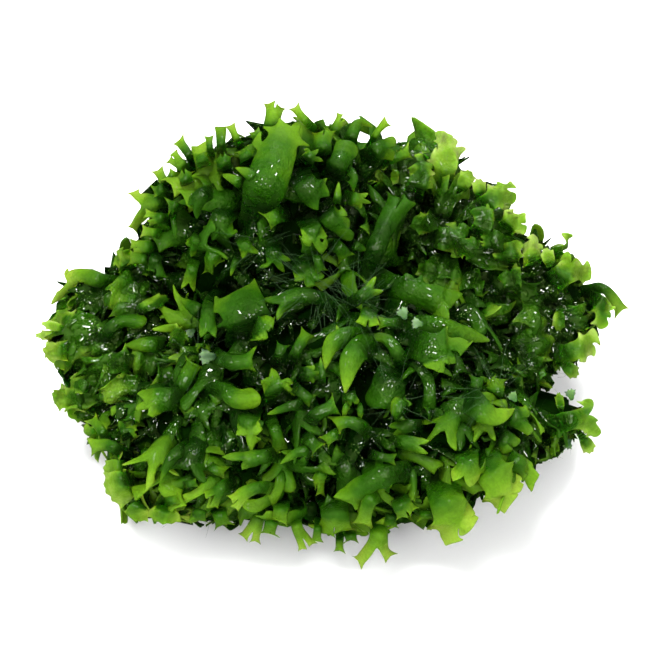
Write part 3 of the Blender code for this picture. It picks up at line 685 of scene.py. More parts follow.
def layFrond(spec, shape, heights, thin, rng):
    # Lays a flat frond on the clump: its heights off the sheet follow the outline, and it arches between
    look, trunk, wide = frondLook, spec["trunk"], spec["wide"]
    places, along, across = shape["points"][:, :2], shape["age"], shape["across"]

    def nextFar(place, before, step):
        return min(max(outlineAt(spec["on"], place), before - look["fall"] * step), before + look["climb"] * step)

    steps = [np.linalg.norm(end - start) for start, end in zip(trunk, trunk[1:])]
    fars = [outlineAt(spec["on"], trunk[0])]
    for place, step in zip(trunk[1:], steps):
        fars.append(nextFar(place, fars[-1], step))
    base = np.zeros(len(places))
    fine = np.linspace(0, 1, 40)
    for i, tip in enumerate(spec["tips"]):
        reach = np.linalg.norm(tip - trunk[-1])
        shares = [sum(steps[:j]) / (sum(steps) + reach) for j in range(len(trunk))] + [1]
        line = np.interp(fine, shares, [*fars, nextFar(tip, fars[-1], reach)])
        line = np.convolve(np.pad(line, 4, mode="edge"), np.ones(9) / 9, mode="valid")
        mine = shape["arm"] == i
        base[mine] = np.interp(along[mine], fine, line)
    curl = rng.uniform(-0.9, 0.7)
    height = base - look["sink"] * (1 - smoothStep(along, 0, 0.45)) + look["arch"] * np.sin(np.pi * along) ** 0.8
    height += look["tipLift"] + curl * smoothStep(along, 0.65, 1)
    share = np.clip(np.abs(across) / (wide / 2), 0, 1.5)
    height -= look["edgeDrop"] * (look["thinEdge"] if thin else 1) * min(wide, 3.2) * share ** 2
    wave = rng.uniform(0, 6.28)
    height += 0.05 * wide * share * np.sin(along * rng.uniform(9, 14) + wave + np.sign(across) * rng.uniform(0.5, 1.5))
    if thin:
        u, v = places.T
        loose = smoothStep(along, 0.1, 0.6)
        height += 0.55 * np.sin(u * rng.uniform(1.4, 2.0) + v * rng.uniform(-1, 1) + wave) * loose
        height += 0.45 * np.sin(v * rng.uniform(1.6, 2.2) - u * rng.uniform(-1, 1) - wave) * loose
    height += shape["points"][:, 2]
    free = along > 0.35
    need = heights.read(places[free]) + look["clear"] - (height - 0.3)[free]
    need = need[need > 0]
    if len(need):
        raised = min(np.percentile(need, 85), look["mostRaise"])
        height += raised * smoothStep(along, 0.05, 0.5)
    heights.add(places[along > 0.2], height[along > 0.2])
    return np.column_stack((places, height)), share


# Small fronds, 9 mm long from root to tips
smallShapes = {
    "strap": {"trunk": [(0, 0), (0.3, 3), (-0.2, 6)], "tips": [(0.3, 9)], "wide": 1.9, "end": "notch"},
    "fork": {"trunk": [(0, 0), (0.1, 2.4), (0, 4.4)], "tips": [(-2.6, 7.9), (2.1, 9)], "wide": 1.9, "end": "notch"},
    "wideFork": {"trunk": [(0, 0), (0, 3.2)], "tips": [(-3.4, 6.6), (3.2, 7.4)], "wide": 2.2, "end": "notch"},
    "antler": {"trunk": [(0, 0), (0.2, 2.6), (0, 4.8)], "tips": [(-3, 7), (0.2, 9), (2.9, 7.6)], "wide": 2.2,
               "end": "point"},
    "lobe": {"trunk": [(0, 0), (0, 2.8), (0.1, 5)], "tips": [(-2.2, 8), (2.3, 8.6)], "wide": 2.7, "end": "round"},
    "claw": {"trunk": [(0, 0), (-0.6, 3), (-0.2, 5.2)], "tips": [(0.4, 8.8), (3.4, 6)], "wide": 2.1, "end": "point"},
    "star": {"trunk": [(0, 0), (0, 3), (0, 5.6)], "tips": [(-3.4, 5.4), (0.2, 9), (3.2, 5.2)], "wide": 3,
             "end": "point"},
    "frill": {"trunk": [(0, 0), (0, 2.4), (0, 4.2)], "tips": [(-3.6, 5.8), (-1.3, 8.2), (1.4, 8.4), (3.8, 5.8)],
              "wide": 2.8, "end": "round"},
    "lace": {"trunk": [(0, 0), (0, 2.4), (0, 4)], "tips": [(-4.6, 4.6), (-2.8, 7.6), (0, 8.8), (2.6, 7.8), (4.5, 5)],
             "wide": 3.4, "end": "round"},
    "ruffle": {"trunk": [(0, 0), (0, 4)], "tips": [(0, 9)], "wide": 8.6, "lobes": 10},
    "narrowRuffle": {"trunk": [(0, 0), (0, 4)], "tips": [(0, 9)], "wide": 5.6, "lobes": 8},
}
plainMix = ("strap", "fork", "fork", "wideFork", "wideFork", "antler", "antler", "antler", "lobe", "claw", "star")
ruffledMix = ("ruffle", "ruffle", "ruffle", "narrowRuffle", "narrowRuffle", "lace", "frill", "antler")


def modelRuffle(spec, rng):
    # A thin sheet that widens from its root, with its far edge and sides cut in small lobes
    columns, rows = spec["lobes"], 6
    made = startGrid(columns, rows)
    mesh = made.data
    scaleFlat(spec["wide"], smallLong)
    moveFlat(0, smallLong / 2)
    places = np.array([v.co.xy for v in bmesh.from_edit_mesh(mesh).verts])
    for k in range(rows + 1):
        found = np.flatnonzero(np.abs(places[:, 1] - smallLong * k / rows) < 0.01)
        found = found[np.argsort(places[found, 0])]
        selectOnly(mesh, found)
        scaleFlat(np.interp(k / rows, (0, 0.35, 0.7, 1), (0.22, 0.7, 1.0, 0.92)) * rng.uniform(0.92, 1.08), 1)
        for end, point in zip((-1, 1), found[[0, -1]]):
            selectOnly(mesh, [point])
            out = (0.55 if k % 2 else -0.5) * rng.uniform(0.6, 1.2) if k > 1 else 0
            moveFlat(end * out, 0)
    for i, point in enumerate(found):
        selectOnly(mesh, [point])
        bow = 2.2 * ((i / columns - 0.5) * 2) ** 2
        cut = (-1.3 if i % 2 else 0.4) * rng.uniform(0.6, 1.2)
        moveFlat(rng.uniform(-0.15, 0.15), cut - bow)
    return leaveEdit()


def ruffleAt(spec, rng):  # a ruffled sheet from the frond's root out to its tips
    root, tips = spec["trunk"][0], np.array(spec["tips"])
    way = tips.mean(axis=0) - root
    long = np.linalg.norm(way)
    way /= long
    wide = max(np.ptp(tips @ (way[1], -way[0])) * 1.25, spec["wide"] * 1.15)
    start = {"lobes": 6 if wide < 3.5 else 8, "wide": 6.6}
    modelRuffle(start, rng)
    editAll()
    scaleFlat(wide / start["wide"], (long + 0.4) / smallLong)
    turnFlat(math.atan2(-way[0], way[1]))
    moveFlat(*root)
    return leaveEdit()


def modelSmall(names, fine, thick, rng):
    step, levels, lanes = (1.9, 1, 2) if fine else (1.6, 0, 1)
    made = []
    for name in names:
        spec = smallShapes[name]
        if "lobes" in spec:
            flat = modelRuffle(spec, rng)
        else:
            shift = rng.normal(0, 0.35, (6, 2))
            spec = {**spec, "tips": [np.array(tip) + shift[i] for i, tip in enumerate(spec["tips"])],
                    "wide": spec["wide"] * rng.uniform(0.78, 1.08)}
            spec = webbed(spec, 0.42 if spec["end"] == "point" else 0.3)
            flat = modelFrond(spec, step, 2 if len(spec["tips"]) == 1 else lanes, rng, 1)
        thicken(flat, thick, levels)
        made.append(takeShape(flat, spec))
    return made


# How the small fronds stand: how they rise, droop, twist and cup, how they lean, how much of each stays within the
# clump's edge, how much may show in front of a large frond, and how fresh they are; towards the clump's rim they are
# lighter, partly fresh growth and partly painted light, and along the lower edge lighter as painted light coming
# through
smallLook = {
    "sunk": 1.8, "rise": (0.2, 0.55), "droop": (-0.2, 0.42), "twist": (-0.9, 0.9), "turn": (-0.35, 0.35),
    "cup": (-1.3, 0.8), "wide": (0.85, 1.15), "outward": 0.7, "down": 0.45, "stray": 0.55, "lengths": (0.75, 1.25),
    "hollowDepth": 4, "within": 0.94, "looseWithin": 0.78, "wellInside": 0.75, "inFront": 0.12, "tries": 9,
    "lowerEdge": (16, 27), "rim": (28, 41), "fresh": (-0.32, 0.06),
}


def bendFrond(shape, root, away, ahead, size, rng, lively, wavy):
    # Stands a flat frond on the clump: out along away, then over along ahead
    look = smallLook
    points = shape["points"]
    across, along = points[:, :1], points[:, 1:2]
    grow, t = size / smallLong, along / smallLong
    rise = rng.uniform(*look["rise"]) * lively
    droop = rng.uniform(*look["droop"]) * lively
    p0 = root - away * look["sunk"]
    p1 = root + away * size * rise
    p2 = root + ahead * size * 0.5 + away * size * (rise + 0.08)
    p3 = root + ahead * size * 0.95 + away * size * droop
    middle = (1 - t) ** 3 * p0 + 3 * t * (1 - t) ** 2 * p1 + 3 * t * t * (1 - t) * p2 + t ** 3 * p3
    slope = 3 * (1 - t) ** 2 * (p1 - p0) + 6 * t * (1 - t) * (p2 - p1) + 3 * t * t * (p3 - p2)
    slope /= np.linalg.norm(slope, axis=1)[:, None]
    side = unit(np.cross(ahead, away))
    out = np.cross(side, slope)
    twist = rng.uniform(*look["twist"]) * t + rng.uniform(*look["turn"])
    sideNow = side * np.cos(twist) + out * np.sin(twist)
    outNow = out * np.cos(twist) - side * np.sin(twist)
    share = np.clip(np.abs(shape["side"]), 0, 1.6)[:, None]
    cup = rng.uniform(*look["cup"])
    lift = points[:, 2:] * grow - (0.75 - 0.65 * wavy) * grow * share ** 2 + cup * grow * (np.abs(across) / 3) ** 2
    lift = lift + 0.3 * grow * np.sin(along * rng.uniform(0.9, 1.6) + rng.uniform(0, 6)) * share
    # a ruffled frond waves both ways
    waves = 0.6 * np.sin(along * rng.uniform(1.4, 2.2) + across * rng.uniform(-1.2, 1.2) + rng.uniform(0, 6))
    waves = waves + 0.6 * np.sin(across * rng.uniform(1.6, 2.6) - along * rng.uniform(-0.8, 0.8) + rng.uniform(0, 6))
    lift = lift + wavy * grow * waves * smoothStep(along, 0.5, 4)
    return middle + sideNow * across * grow * rng.uniform(*look["wide"]) + outNow * lift


def freeSpots(name, count, share, rng):
    # Places spread over a colony's outside, clear of the floor and of the insides of other colonies
    colony = colonies[name]
    centre, radii = np.array(colony["centre"]), np.array(colony["radii"])
    goldenTurn = 2.399963  # spreads the places evenly over the colony
    spots = []
    tries = int(count * 2.6)
    for i in range(tries):
        z = 1 - 2 * (i + 0.5) / tries
        angle = i * goldenTurn + rng.uniform(-0.25, 0.25)
        flat = math.sqrt(1 - z * z)
        way = np.array((flat * math.cos(angle), flat * math.sin(angle), z)) + rng.normal(0, 0.05, 3)
        way = unit(way)
        place = centre + radii * way * share
        if place[2] < 1.2:
            continue
        others = [np.linalg.norm((place - c["centre"]) / c["radii"]) for n, c in colonies.items() if n != name]
        if min(others) < share - 0.1:
            continue
        spots.append((place, unit(way / radii)))
    rng.shuffle(spots)
    return spots[:count]


def smallFronds(name, shapes, count, share, size, lively, heights, rng):
    look, items = smallLook, []
    wavy = 1.0 if name in ruffled else 0.25
    for place, away in freeSpots(name, count, share, rng):
        onIt = toSheet(place[None])[0]
        seen = onIt[2] > 4  # on the side that the picture shows
        hollow = inHollow(onIt[:2]) if seen else 0.0
        low = smoothStep(-onIt[1], *look["lowerEdge"]) if seen else 0.0
        place = place - away * look["hollowDepth"] * hollow
        outward = place - clumpCentre
        outward -= away * (outward @ away)
        outward /= max(np.linalg.norm(outward), 1)
        down = away * away[2] - (0, 0, 1)
        ahead = outward * look["outward"] + down * look["down"] + rng.normal(0, look["stray"], 3)
        ahead = unit(ahead - away * (ahead @ away))
        shape = shapes[rng.integers(len(shapes))]
        long = size * rng.uniform(*look["lengths"])
        within = look["within"] if rng.uniform() < look["wellInside"] else look["looseWithin"]
        for _ in range(look["tries"]):
            points = bendFrond(shape, place, away, ahead, long, rng, lively, wavy)
            onIt = toSheet(points)
            tops = heights.read(onIt[:, :2])
            inFront = (onIt[:, 2] > tops - 0.4) & (tops > bare)
            if inEdge(onIt[:, :2]).mean() < within:
                place = place + (clumpCentre - place) * 0.07
                long = max(long * 0.93, 0.6 * size)
            elif inFront.mean() > look["inFront"]:
                place = place - away * 0.9
            elif points[:, 2].min() < -0.5:
                place = place + np.array((0, 0, 0.7))
            else:
                break
        else:
            continue
        # lighter towards the clump's rim (partly fresh growth, partly painted light), darker in a hollow as painted
        # shade, and lighter along the lower edge as painted light coming through
        rim = smoothStep(np.linalg.norm(place - clumpCentre), *look["rim"]) * (0.3 if name in ruffled else 0.4)
        fresh = rng.uniform(*look["fresh"]) + rim - 0.34 * hollow + 0.22 * low
        items.append((shape, overFloor(points), float(rng.uniform(0, 1)), float(fresh)))
    return items


# Joining shapes to one piece


class Piece:
    def __init__(self, name):
        self.name = name
        self.points, self.corners, self.sizes, self.slots, self.flats = [], [], [], [], []
        self.ages, self.tints, self.count = [], [], 0

    def add(self, shape, points, age, tint, slot=0):
        self.points.append(points)
        self.corners.append(shape["corners"] + self.count)
        self.sizes.append(shape["sizes"])
        self.slots.append(np.full(len(shape["sizes"]), slot, np.int32))
        self.flats.append(shape["flat"])
        self.ages.append(age)
        self.tints.append(np.full(len(points), tint))
        self.count += len(points)

    def make(self, materials, rides, stands, slotName):
        points = np.concatenate(self.points)
        corners, sizes = np.concatenate(self.corners), np.concatenate(self.sizes)
        mesh = bpy.data.meshes.new(self.name)
        mesh.vertices.add(len(points))
        mesh.vertices.foreach_set("co", ((points + standShift) * 0.001).ravel())
        mesh.loops.add(len(corners))
        mesh.loops.foreach_set("vertex_index", corners)
        mesh.polygons.add(len(sizes))
        mesh.polygons.foreach_set("loop_start", np.concatenate(([0], np.cumsum(sizes)[:-1])).astype(np.int32))
        mesh.polygons.foreach_set("material_index", np.concatenate(self.slots))
        mesh.polygons.foreach_set("use_smooth", np.ones(len(sizes), bool))
        mesh.update(calc_edges=True)
        cells = math.ceil(math.sqrt(len(self.flats)))
        flats = [(flat + (i % cells, i // cells)) / cells for i, flat in enumerate(self.flats)]
        mesh.uv_layers.new(name="OFBake").data.foreach_set("uv", np.concatenate(flats).ravel())
        # age runs the colour from old to young and also carries painted light and shade; deep is the depth for the
        # painted shade and the wet film
        for label, values in (("age", np.concatenate(self.ages)), ("tint", np.concatenate(self.tints)),
                              ("deep", howDeep(points))):
            mesh.attributes.new(label, "FLOAT", "POINT").data.foreach_set("value", values.astype(np.float32))
        for material in materials:
            mesh.materials.append(material)
        made = bpy.data.objects.new(self.name, mesh)
        bpy.context.scene.collection.objects.link(made)
        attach(made, rides)
        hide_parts(stands)
        return made


# Materials


class NodeTree:  # short ways to add the nodes that the materials share
    def __init__(self, tree):
        self.nodes, self.links = tree.nodes, tree.links

    def node(self, kind, inputs, **settings):
        made = self.nodes.new("ShaderNode" + kind)
        for label, value in settings.items():
            setattr(made, label, value)
        for label, value in inputs.items():
            self.feed(made.inputs[label], value)
        return made

    def feed(self, socket, value):
        if isinstance(value, bpy.types.NodeSocket):
            self.links.new(value, socket)
        else:
            socket.default_value = value

    def maths(self, operation, first, second, clamp=False):
        return self.node("Math", {0: first, 1: second}, operation=operation, use_clamp=clamp).outputs[0]

    def mixed(self, share, first, second, blend="MIX"):
        inputs = {"Factor": share, 6: first, 7: second}  # 6 and 7 are the two colours
        return self.node("Mix", inputs, data_type="RGBA", blend_type=blend).outputs[2]

    def ranged(self, value, fromLow, fromHigh, toLow, toHigh):
        inputs = {"Value": value, "From Min": fromLow, "From Max": fromHigh, "To Min": toLow, "To Max": toHigh}
        return self.node("MapRange", inputs).outputs["Result"]

    def noise(self, scale, detail=2.0, roughness=0.5):
        place = self.node("TexCoord", {}).outputs["Object"]
        inputs = {"Scale": scale, "Detail": detail, "Roughness": roughness, "Vector": place}
        return self.node("TexNoise", inputs).outputs["Fac"]

    def attribute(self, label):
        return self.node("Attribute", {}, attribute_name=label).outputs["Fac"]

    def group(self, group, values):
        return self.node("Group", {label: (*value, 1) if isinstance(value, tuple) else value
                                   for label, value in values.items()}, node_tree=group)


def newGroup(name, colours, numbers, outputs):
    group = bpy.data.node_groups.new(name, "ShaderNodeTree")
    for kind, given in (("NodeSocketColor", colours), ("NodeSocketFloat", numbers)):
        for label, value in given.items():
            group.interface.new_socket(label, in_out="INPUT", socket_type=kind).default_value = value
    for label, kind in outputs.items():
        group.interface.new_socket(label, in_out="OUTPUT", socket_type=kind)
    made = NodeTree(group)
    return group, made, made.nodes.new("NodeGroupInput").outputs, made.nodes.new("NodeGroupOutput").inputs


def frondColourGroup():
    group, made, given, out = newGroup(
        "frondColour",
        {"Root": (0.012, 0.05, 0.005, 1), "Middle": (0.05, 0.17, 0.008, 1), "Tip": (0.25, 0.5, 0.02, 1),
         "Thin": (0.25, 0.4, 0.02, 1)}, {"Deep Shade": 0.6, "Patch": 0.3}, {"Colour": "NodeSocketColor"})
    patches = made.ranged(made.noise(260, 3), 0.3, 0.7, -0.5, 0.5)
    tint = made.ranged(made.attribute("tint"), 0, 1, -0.16, 0.16)
    shift = made.maths("ADD", made.maths("MULTIPLY", patches, given["Patch"]), tint)
    age = made.maths("ADD", made.attribute("age"), shift)
    full = made.mixed(made.ranged(age, 0.1, 0.6, 0, 1), given["Root"], given["Middle"])
    full = made.mixed(made.ranged(age, 0.55, 1.05, 0, 1), full, given["Tip"])
    # past 1 the colour runs to Thin: the pale thin margin, lightened further as painted light coming through it
    full = made.mixed(made.ranged(age, 1.0, 1.45, 0, 1), full, given["Thin"])
    speck = made.ranged(made.noise(2600), 0.35, 0.65, 0.88, 1.1)
    # painted shade: the colour is darkened deeper inside the clump, by Deep Shade
    shade = made.maths("MULTIPLY", made.attribute("deep"), given["Deep Shade"])
    light = made.maths("MULTIPLY", made.maths("SUBTRACT", 1.0, shade), speck)
    grey = made.node("CombineColor", {"Red": light, "Green": light, "Blue": light}).outputs[0]
    made.feed(out["Colour"], made.mixed(1.0, full, grey, "MULTIPLY"))
    return group


def wetSkinGroup():
    group, made, given, out = newGroup(
        "wetSkin", {}, {"Stipple": 1.0, "Rough Low": 0.2, "Rough High": 0.42, "Film": 0.5},
        {label: "NodeSocketFloat" for label in ("Height", "Roughness", "Coat")})
    height = made.maths("ADD", made.maths("MULTIPLY", made.noise(3800, 3, 0.6), 0.35), made.noise(900, 3, 0.55))
    height = made.maths("MULTIPLY", height, given["Stipple"])
    patches = made.ranged(made.noise(650, 2, 0.6), 0.43, 0.51, 0, 1)
    deeper = made.ranged(made.attribute("deep"), 0, 0.5, 0.45, 1)
    older = made.ranged(made.attribute("age"), 0.2, 0.7, 1, 0.1)
    film = made.maths("MULTIPLY", made.maths("MULTIPLY", deeper, older), patches)
    film = made.maths("MULTIPLY", film, given["Film"], clamp=True)
    beads = made.ranged(made.noise(1500), 0.35, 0.7, 0, 2.2)
    made.feed(out["Height"], made.maths("ADD", made.maths("MULTIPLY", beads, film), height))
    satin = made.ranged(made.noise(420), 0.35, 0.65, 0, 1)
    span = made.maths("SUBTRACT", given["Rough High"], given["Rough Low"])
    dry = made.maths("ADD", made.maths("MULTIPLY", span, satin), given["Rough Low"])
    wet = made.maths("MULTIPLY", dry, made.maths("SUBTRACT", 1.0, film))
    made.feed(out["Roughness"], made.maths("ADD", wet, made.maths("MULTIPLY", film, 0.06)))
    made.feed(out["Coat"], film)
    return group


# The plant's materials: colours from the root to a thin rim (its lightest, Thin, partly painted light coming through),
# the wet skin, and what is the same all over
plantLooks = {
    "pelliaFrond": {
        "colours": {"Root": (0.002, 0.014, 0.0004), "Middle": (0.011, 0.053, 0.0006), "Tip": (0.068, 0.15, 0.003),
                    "Thin": (0.13, 0.205, 0.014), "Deep Shade": 0.7, "Patch": 0.3},
        "skin": {"Stipple": 1.2, "Rough Low": 0.48, "Rough High": 0.64, "Film": 1.5},
        "bump": 0.8, "relief": 0.00015, "sub": 0.12, "shine": 0.27},
    "pelliaThinFrond": {
        "colours": {"Root": (0.003, 0.014, 0.0005), "Middle": (0.012, 0.053, 0.001), "Tip": (0.095, 0.18, 0.008),
                    "Thin": (0.19, 0.27, 0.05), "Deep Shade": 0.76, "Patch": 0.5},
        "skin": {"Stipple": 1.2, "Rough Low": 0.38, "Rough High": 0.54, "Film": 2.4},
        "bump": 0.8, "relief": 0.00018, "sub": 0.25, "shine": 0.32},
    "pelliaShadedMat": {
        "colours": {"Root": (0.001, 0.009, 0.0003), "Middle": (0.003, 0.018, 0.0006), "Tip": (0.005, 0.025, 0.001),
                    "Thin": (0.005, 0.025, 0.001), "Deep Shade": 0.4, "Patch": 0.5},
        "skin": {"Stipple": 1.5, "Rough Low": 0.5, "Rough High": 0.75, "Film": 0.0},
        "bump": 0.7, "relief": 0.0001, "sub": 0.0, "shine": 0.02},
    "paleFlake": {
        "colours": {"Root": (0.02, 0.045, 0.02), "Middle": (0.05, 0.085, 0.045), "Tip": (0.1, 0.15, 0.09),
                    "Thin": (0.12, 0.17, 0.1), "Deep Shade": 0.1, "Patch": 0.6},
        "skin": {"Stipple": 1.0, "Rough Low": 0.25, "Rough High": 0.4, "Film": 0.6},
        "bump": 0.4, "relief": 0.0001, "sub": 0.3, "shine": 0.3},
    "pelliaRootHair": {
        "colours": {"Root": (0.008, 0.025, 0.006), "Middle": (0.018, 0.045, 0.015), "Tip": (0.045, 0.08, 0.04),
                    "Thin": (0.05, 0.09, 0.045), "Deep Shade": 0.5, "Patch": 0.3},
        "skin": {"Stipple": 0.5, "Rough Low": 0.4, "Rough High": 0.6, "Film": 0.6},
        "bump": 0.2, "relief": 0.0001, "sub": 0.0, "shine": 0.2},
}


def plantMaterial(name):
    look = plantLooks[name]
    made = bpy.data.materials.new(name)
    made.use_nodes = True
    tree = NodeTree(made.node_tree)
    colour, wet = tree.group(frondColour, look["colours"]), tree.group(wetSkin, look["skin"])
    bump = tree.node("Bump", {"Strength": look["bump"], "Distance": look["relief"], "Height": wet.outputs["Height"]})
    shader = tree.nodes["Principled BSDF"].inputs
    for label, value in {
        "Base Color": colour.outputs["Colour"], "Roughness": wet.outputs["Roughness"],
        "Coat Weight": wet.outputs["Coat"], "Normal": bump.outputs["Normal"],
        "Specular IOR Level": look["shine"], "Specular Tint": (0.52, 0.88, 0.2, 1), "IOR": 1.4,
        "Subsurface Weight": look["sub"], "Subsurface Radius": (0.5, 0.9, 0.15), "Subsurface Scale": 0.0012,
        "Coat Roughness": 0.04, "Coat IOR": 1.33,
    }.items():
        tree.feed(shader[label], value)
    return made


frondColour, wetSkin = frondColourGroup(), wetSkinGroup()
plantMaterials = {name: plantMaterial(name) for name in plantLooks}
print("materials made")

pointSpec = {"trunk": [(0, 0), (0, 1)], "tips": [(0, 2)], "wide": 1}  # for shapes that aren't fronds


def modelMat(name):
    # A colony's dark matted inside, just under its small fronds and drawn in where it would show past the clump's edge:
    # old matted thalli, coloured near-black as painted shade deep in the clump
    deselectAll()
    bpy.ops.mesh.primitive_ico_sphere_add(subdivisions=4, radius=1, location=(0, 0, 0))
    editAll()
    radii = np.array(colonies[name]["radii"]) * 0.74
    bpy.ops.transform.resize(value=tuple(radii), center_override=(0, 0, 0))
    bpy.ops.transform.translate(value=colonies[name]["centre"])
    made = leaveEdit()
    clouds = bpy.data.textures.new(name + "Lumps", "CLOUDS")
    clouds.noise_scale, clouds.noise_depth = 3.0, 2
    finishWith(made, "lumps", "DISPLACE", texture=clouds, strength=3.0, mid_level=0.5, texture_coords="LOCAL")
    shape = takeShape(made, pointSpec)
    points = shape["points"]
    for _ in range(14):
        out = ~inEdge(toSheet(points)[:, :2] * 1.05)
        points[out] += (clumpCentre - points[out]) * 0.05
    overFloor(points, 0.3)
    return shape


def modelHair():
    # One fine root hair, 4 mm long, three-sided
    deselectAll()
    bpy.ops.mesh.primitive_circle_add(vertices=3, radius=0.021, fill_type="NGON")
    editAll()
    for step in ((0.08, 0, 0.95), (-0.05, 0.08, 0.95), (0.12, -0.06, 0.9), (0.06, 0.1, 0.8)):
        bpy.ops.mesh.extrude_region_move(TRANSFORM_OT_translate={"value": step})
        bpy.ops.transform.resize(value=(0.85, 0.85, 0.85))
    return takeShape(leaveEdit(), pointSpec)


def standAlong(axis, other):  # turns a shape that stands up, to stand along the axis
    side = unit(np.cross(axis, other))
    return np.array((side, np.cross(axis, side), axis))


# Patches of root hairs that show, and dead flakes that lie on the clump, at their places in the picture
feltPatches = (("middle_colony", (318, 284), 30, 60), ("middle_colony", (352, 306), 22, 40),
               ("front_right_colony", (492, 392), 16, 24), ("middle_colony", (392, 396), 18, 12),
               ("crown_colony", (262, 246), 16, 14), ("left_colony", (196, 356), 14, 14))
paleFlakes = (("middle_colony", (402, 313), 13, 0.4), ("middle_colony", (416, 323), 12, 1.4),
              ("middle_colony", (208, 356), 17, 1.6), ("middle_colony", (191, 332), 10, 2.2),
              ("front_right_colony", (511, 396), 11, 0.6), ("small_sprig", (570, 394), 12, 0.2),
              ("small_sprig", (568, 444), 11, 2.8))


def layFelt(piece, middle, reach, count, rng):
    middle, reach = onSheet(middle), reach * sheet["pixel"]
    for _ in range(count):
        angle = rng.uniform(0, 2 * math.pi)
        place = middle + np.array((math.cos(angle), math.sin(angle))) * reach * math.sqrt(rng.uniform(0, 1))
        turn = angle + rng.normal(0, 0.5)
        way = unit(np.array((math.cos(turn), math.sin(turn), rng.uniform(-0.1, 0.35))))
        points = hair["points"] @ standAlong(way, (0, 0, 1)) * rng.uniform(0.8, 1.7)
        high = heights.read(place[None])[0]
        points = overFloor(offSheet(points + (*place, (high if high > bare else 0) - 0.3)))
        piece.add(hair, points, np.full(len(points), 0.7), 0.5, 2)


def layFlake(piece, middle, size, turn):
    place, size = onSheet(middle), size * sheet["pixel"]
    points = flake["points"] * size / smallLong
    points[:, 1] -= size / 2
    cosine, sine = math.cos(turn), math.sin(turn)
    points = np.column_stack((points[:, 0] * cosine - points[:, 1] * sine, points[:, 0] * sine + points[:, 1] * cosine,
                              points[:, 2] + 0.25 * np.sin(points[:, 0] * 3) + 0.5 * points[:, 1] * math.cos(turn * 3)))
    around = place + np.array([(i, j) for i in (-0.5, 0, 0.5) for j in (-0.5, 0, 0.5)])
    points = overFloor(offSheet(points + (*place, max(heights.read(around).max(), -5) + 0.3)))
    piece.add(flake, points, flake["age"], 0.5, 3)


def largeAgeAndLight(spec, along, share, thin, glow):  # its colour, from old and dark to young and light, with painted light on thin rims and clear tips and painted shade in hollows
    rimLight = (0.36 if thin else 0.1) * np.minimum(share, 1.2) ** 3
    if not inEdge(np.array(spec["tips"])).all():
        rimLight = rimLight + 0.13 * smoothStep(along, 0.1, 0.6)  # light comes through a tip that stands clear
    # painted light: the tips of the lightest fronds are lit up
    lit = 0.7 * max(glow - 0.6, 0) * along ** 1.5
    age = along ** 1.25 * ((0.5 if thin else 0.6) + 0.34 * glow) + 0.07 * glow + rimLight
    # painted shade: a frond rooted in a hollow is darker
    return np.clip(age + lit - 0.2 * inHollow(spec["trunk"][0]) * (1 - age), 0, 1.5)


def buildLarge(on, trunk, tips, wide, end, glow, node=""):
    look, rng = frondLook, rngAll
    spec = {"on": on, "trunk": onSheet(trunk), "tips": list(onSheet(tips)), "wide": wide * sheet["pixel"], "end": end}
    thin = end == "ruffle" or on in ruffled and node not in firm
    glow += 0.15 * smoothStep(-spec["tips"][0][1], *look["lowerEdge"])  # light comes through along the lower edge
    if end == "ruffle" or thin and len(tips) == 1 and len(trunk) == 2:
        big = False
        flat = ruffleAt(spec, rng)
    else:
        spec = webbed(spec, look["thinWeb"] if thin else look["web"].get(end, look["otherWeb"]))
        big = spec["wide"] > look["bigFrom"]
        manyPoints = big and end in ("point", "star") and len(tips) > 1
        teeth = 8 if thin else {"fold": 4, "web": 2}.get(end, 3 if manyPoints else 0)
        flat = modelFrond(spec, look["thinStep" if thin else "bigStep" if big else "smallStep"], 2, rng, teeth)
    thick = look["thinThick"] if thin else min(max(spec["wide"] * 0.25, look["leastThick"]), look["thick"])
    thicken(flat, thick, 2 if big and node and not thin else 1)
    shape = takeShape(flat, spec)
    laid, share = layFrond(spec, shape, heights, thin, rng)
    piece = Piece(node + "Frond") if node else colonyPieces[on]
    piece.add(shape, overFloor(offSheet(laid)), largeAgeAndLight(spec, shape["age"], share, thin, glow),
              float(rng.uniform(0, 1)))
    if node:
        piece.make([plantMaterials["pelliaThinFrond" if thin else "pelliaFrond"]], "root", node, node)


# Layers of small fronds, from the inside out: how far out they root, how long, lively and young they are
layers = (
    {"fine": False, "share": 0.66, "long": 1.15, "lively": 0.8, "young": 0.36, "fresh": -0.06},
    {"fine": False, "share": 0.75, "long": 1.08, "lively": 0.9, "young": 0.6, "fresh": -0.02},
    {"fine": True, "share": 0.83, "long": 1.28, "lively": 1.05, "young": 1.04, "fresh": 0.02},
    {"fine": True, "share": 0.82, "long": 1.5, "lively": 0.9, "young": 0.9, "fresh": 0},
)
hairsEach = 40


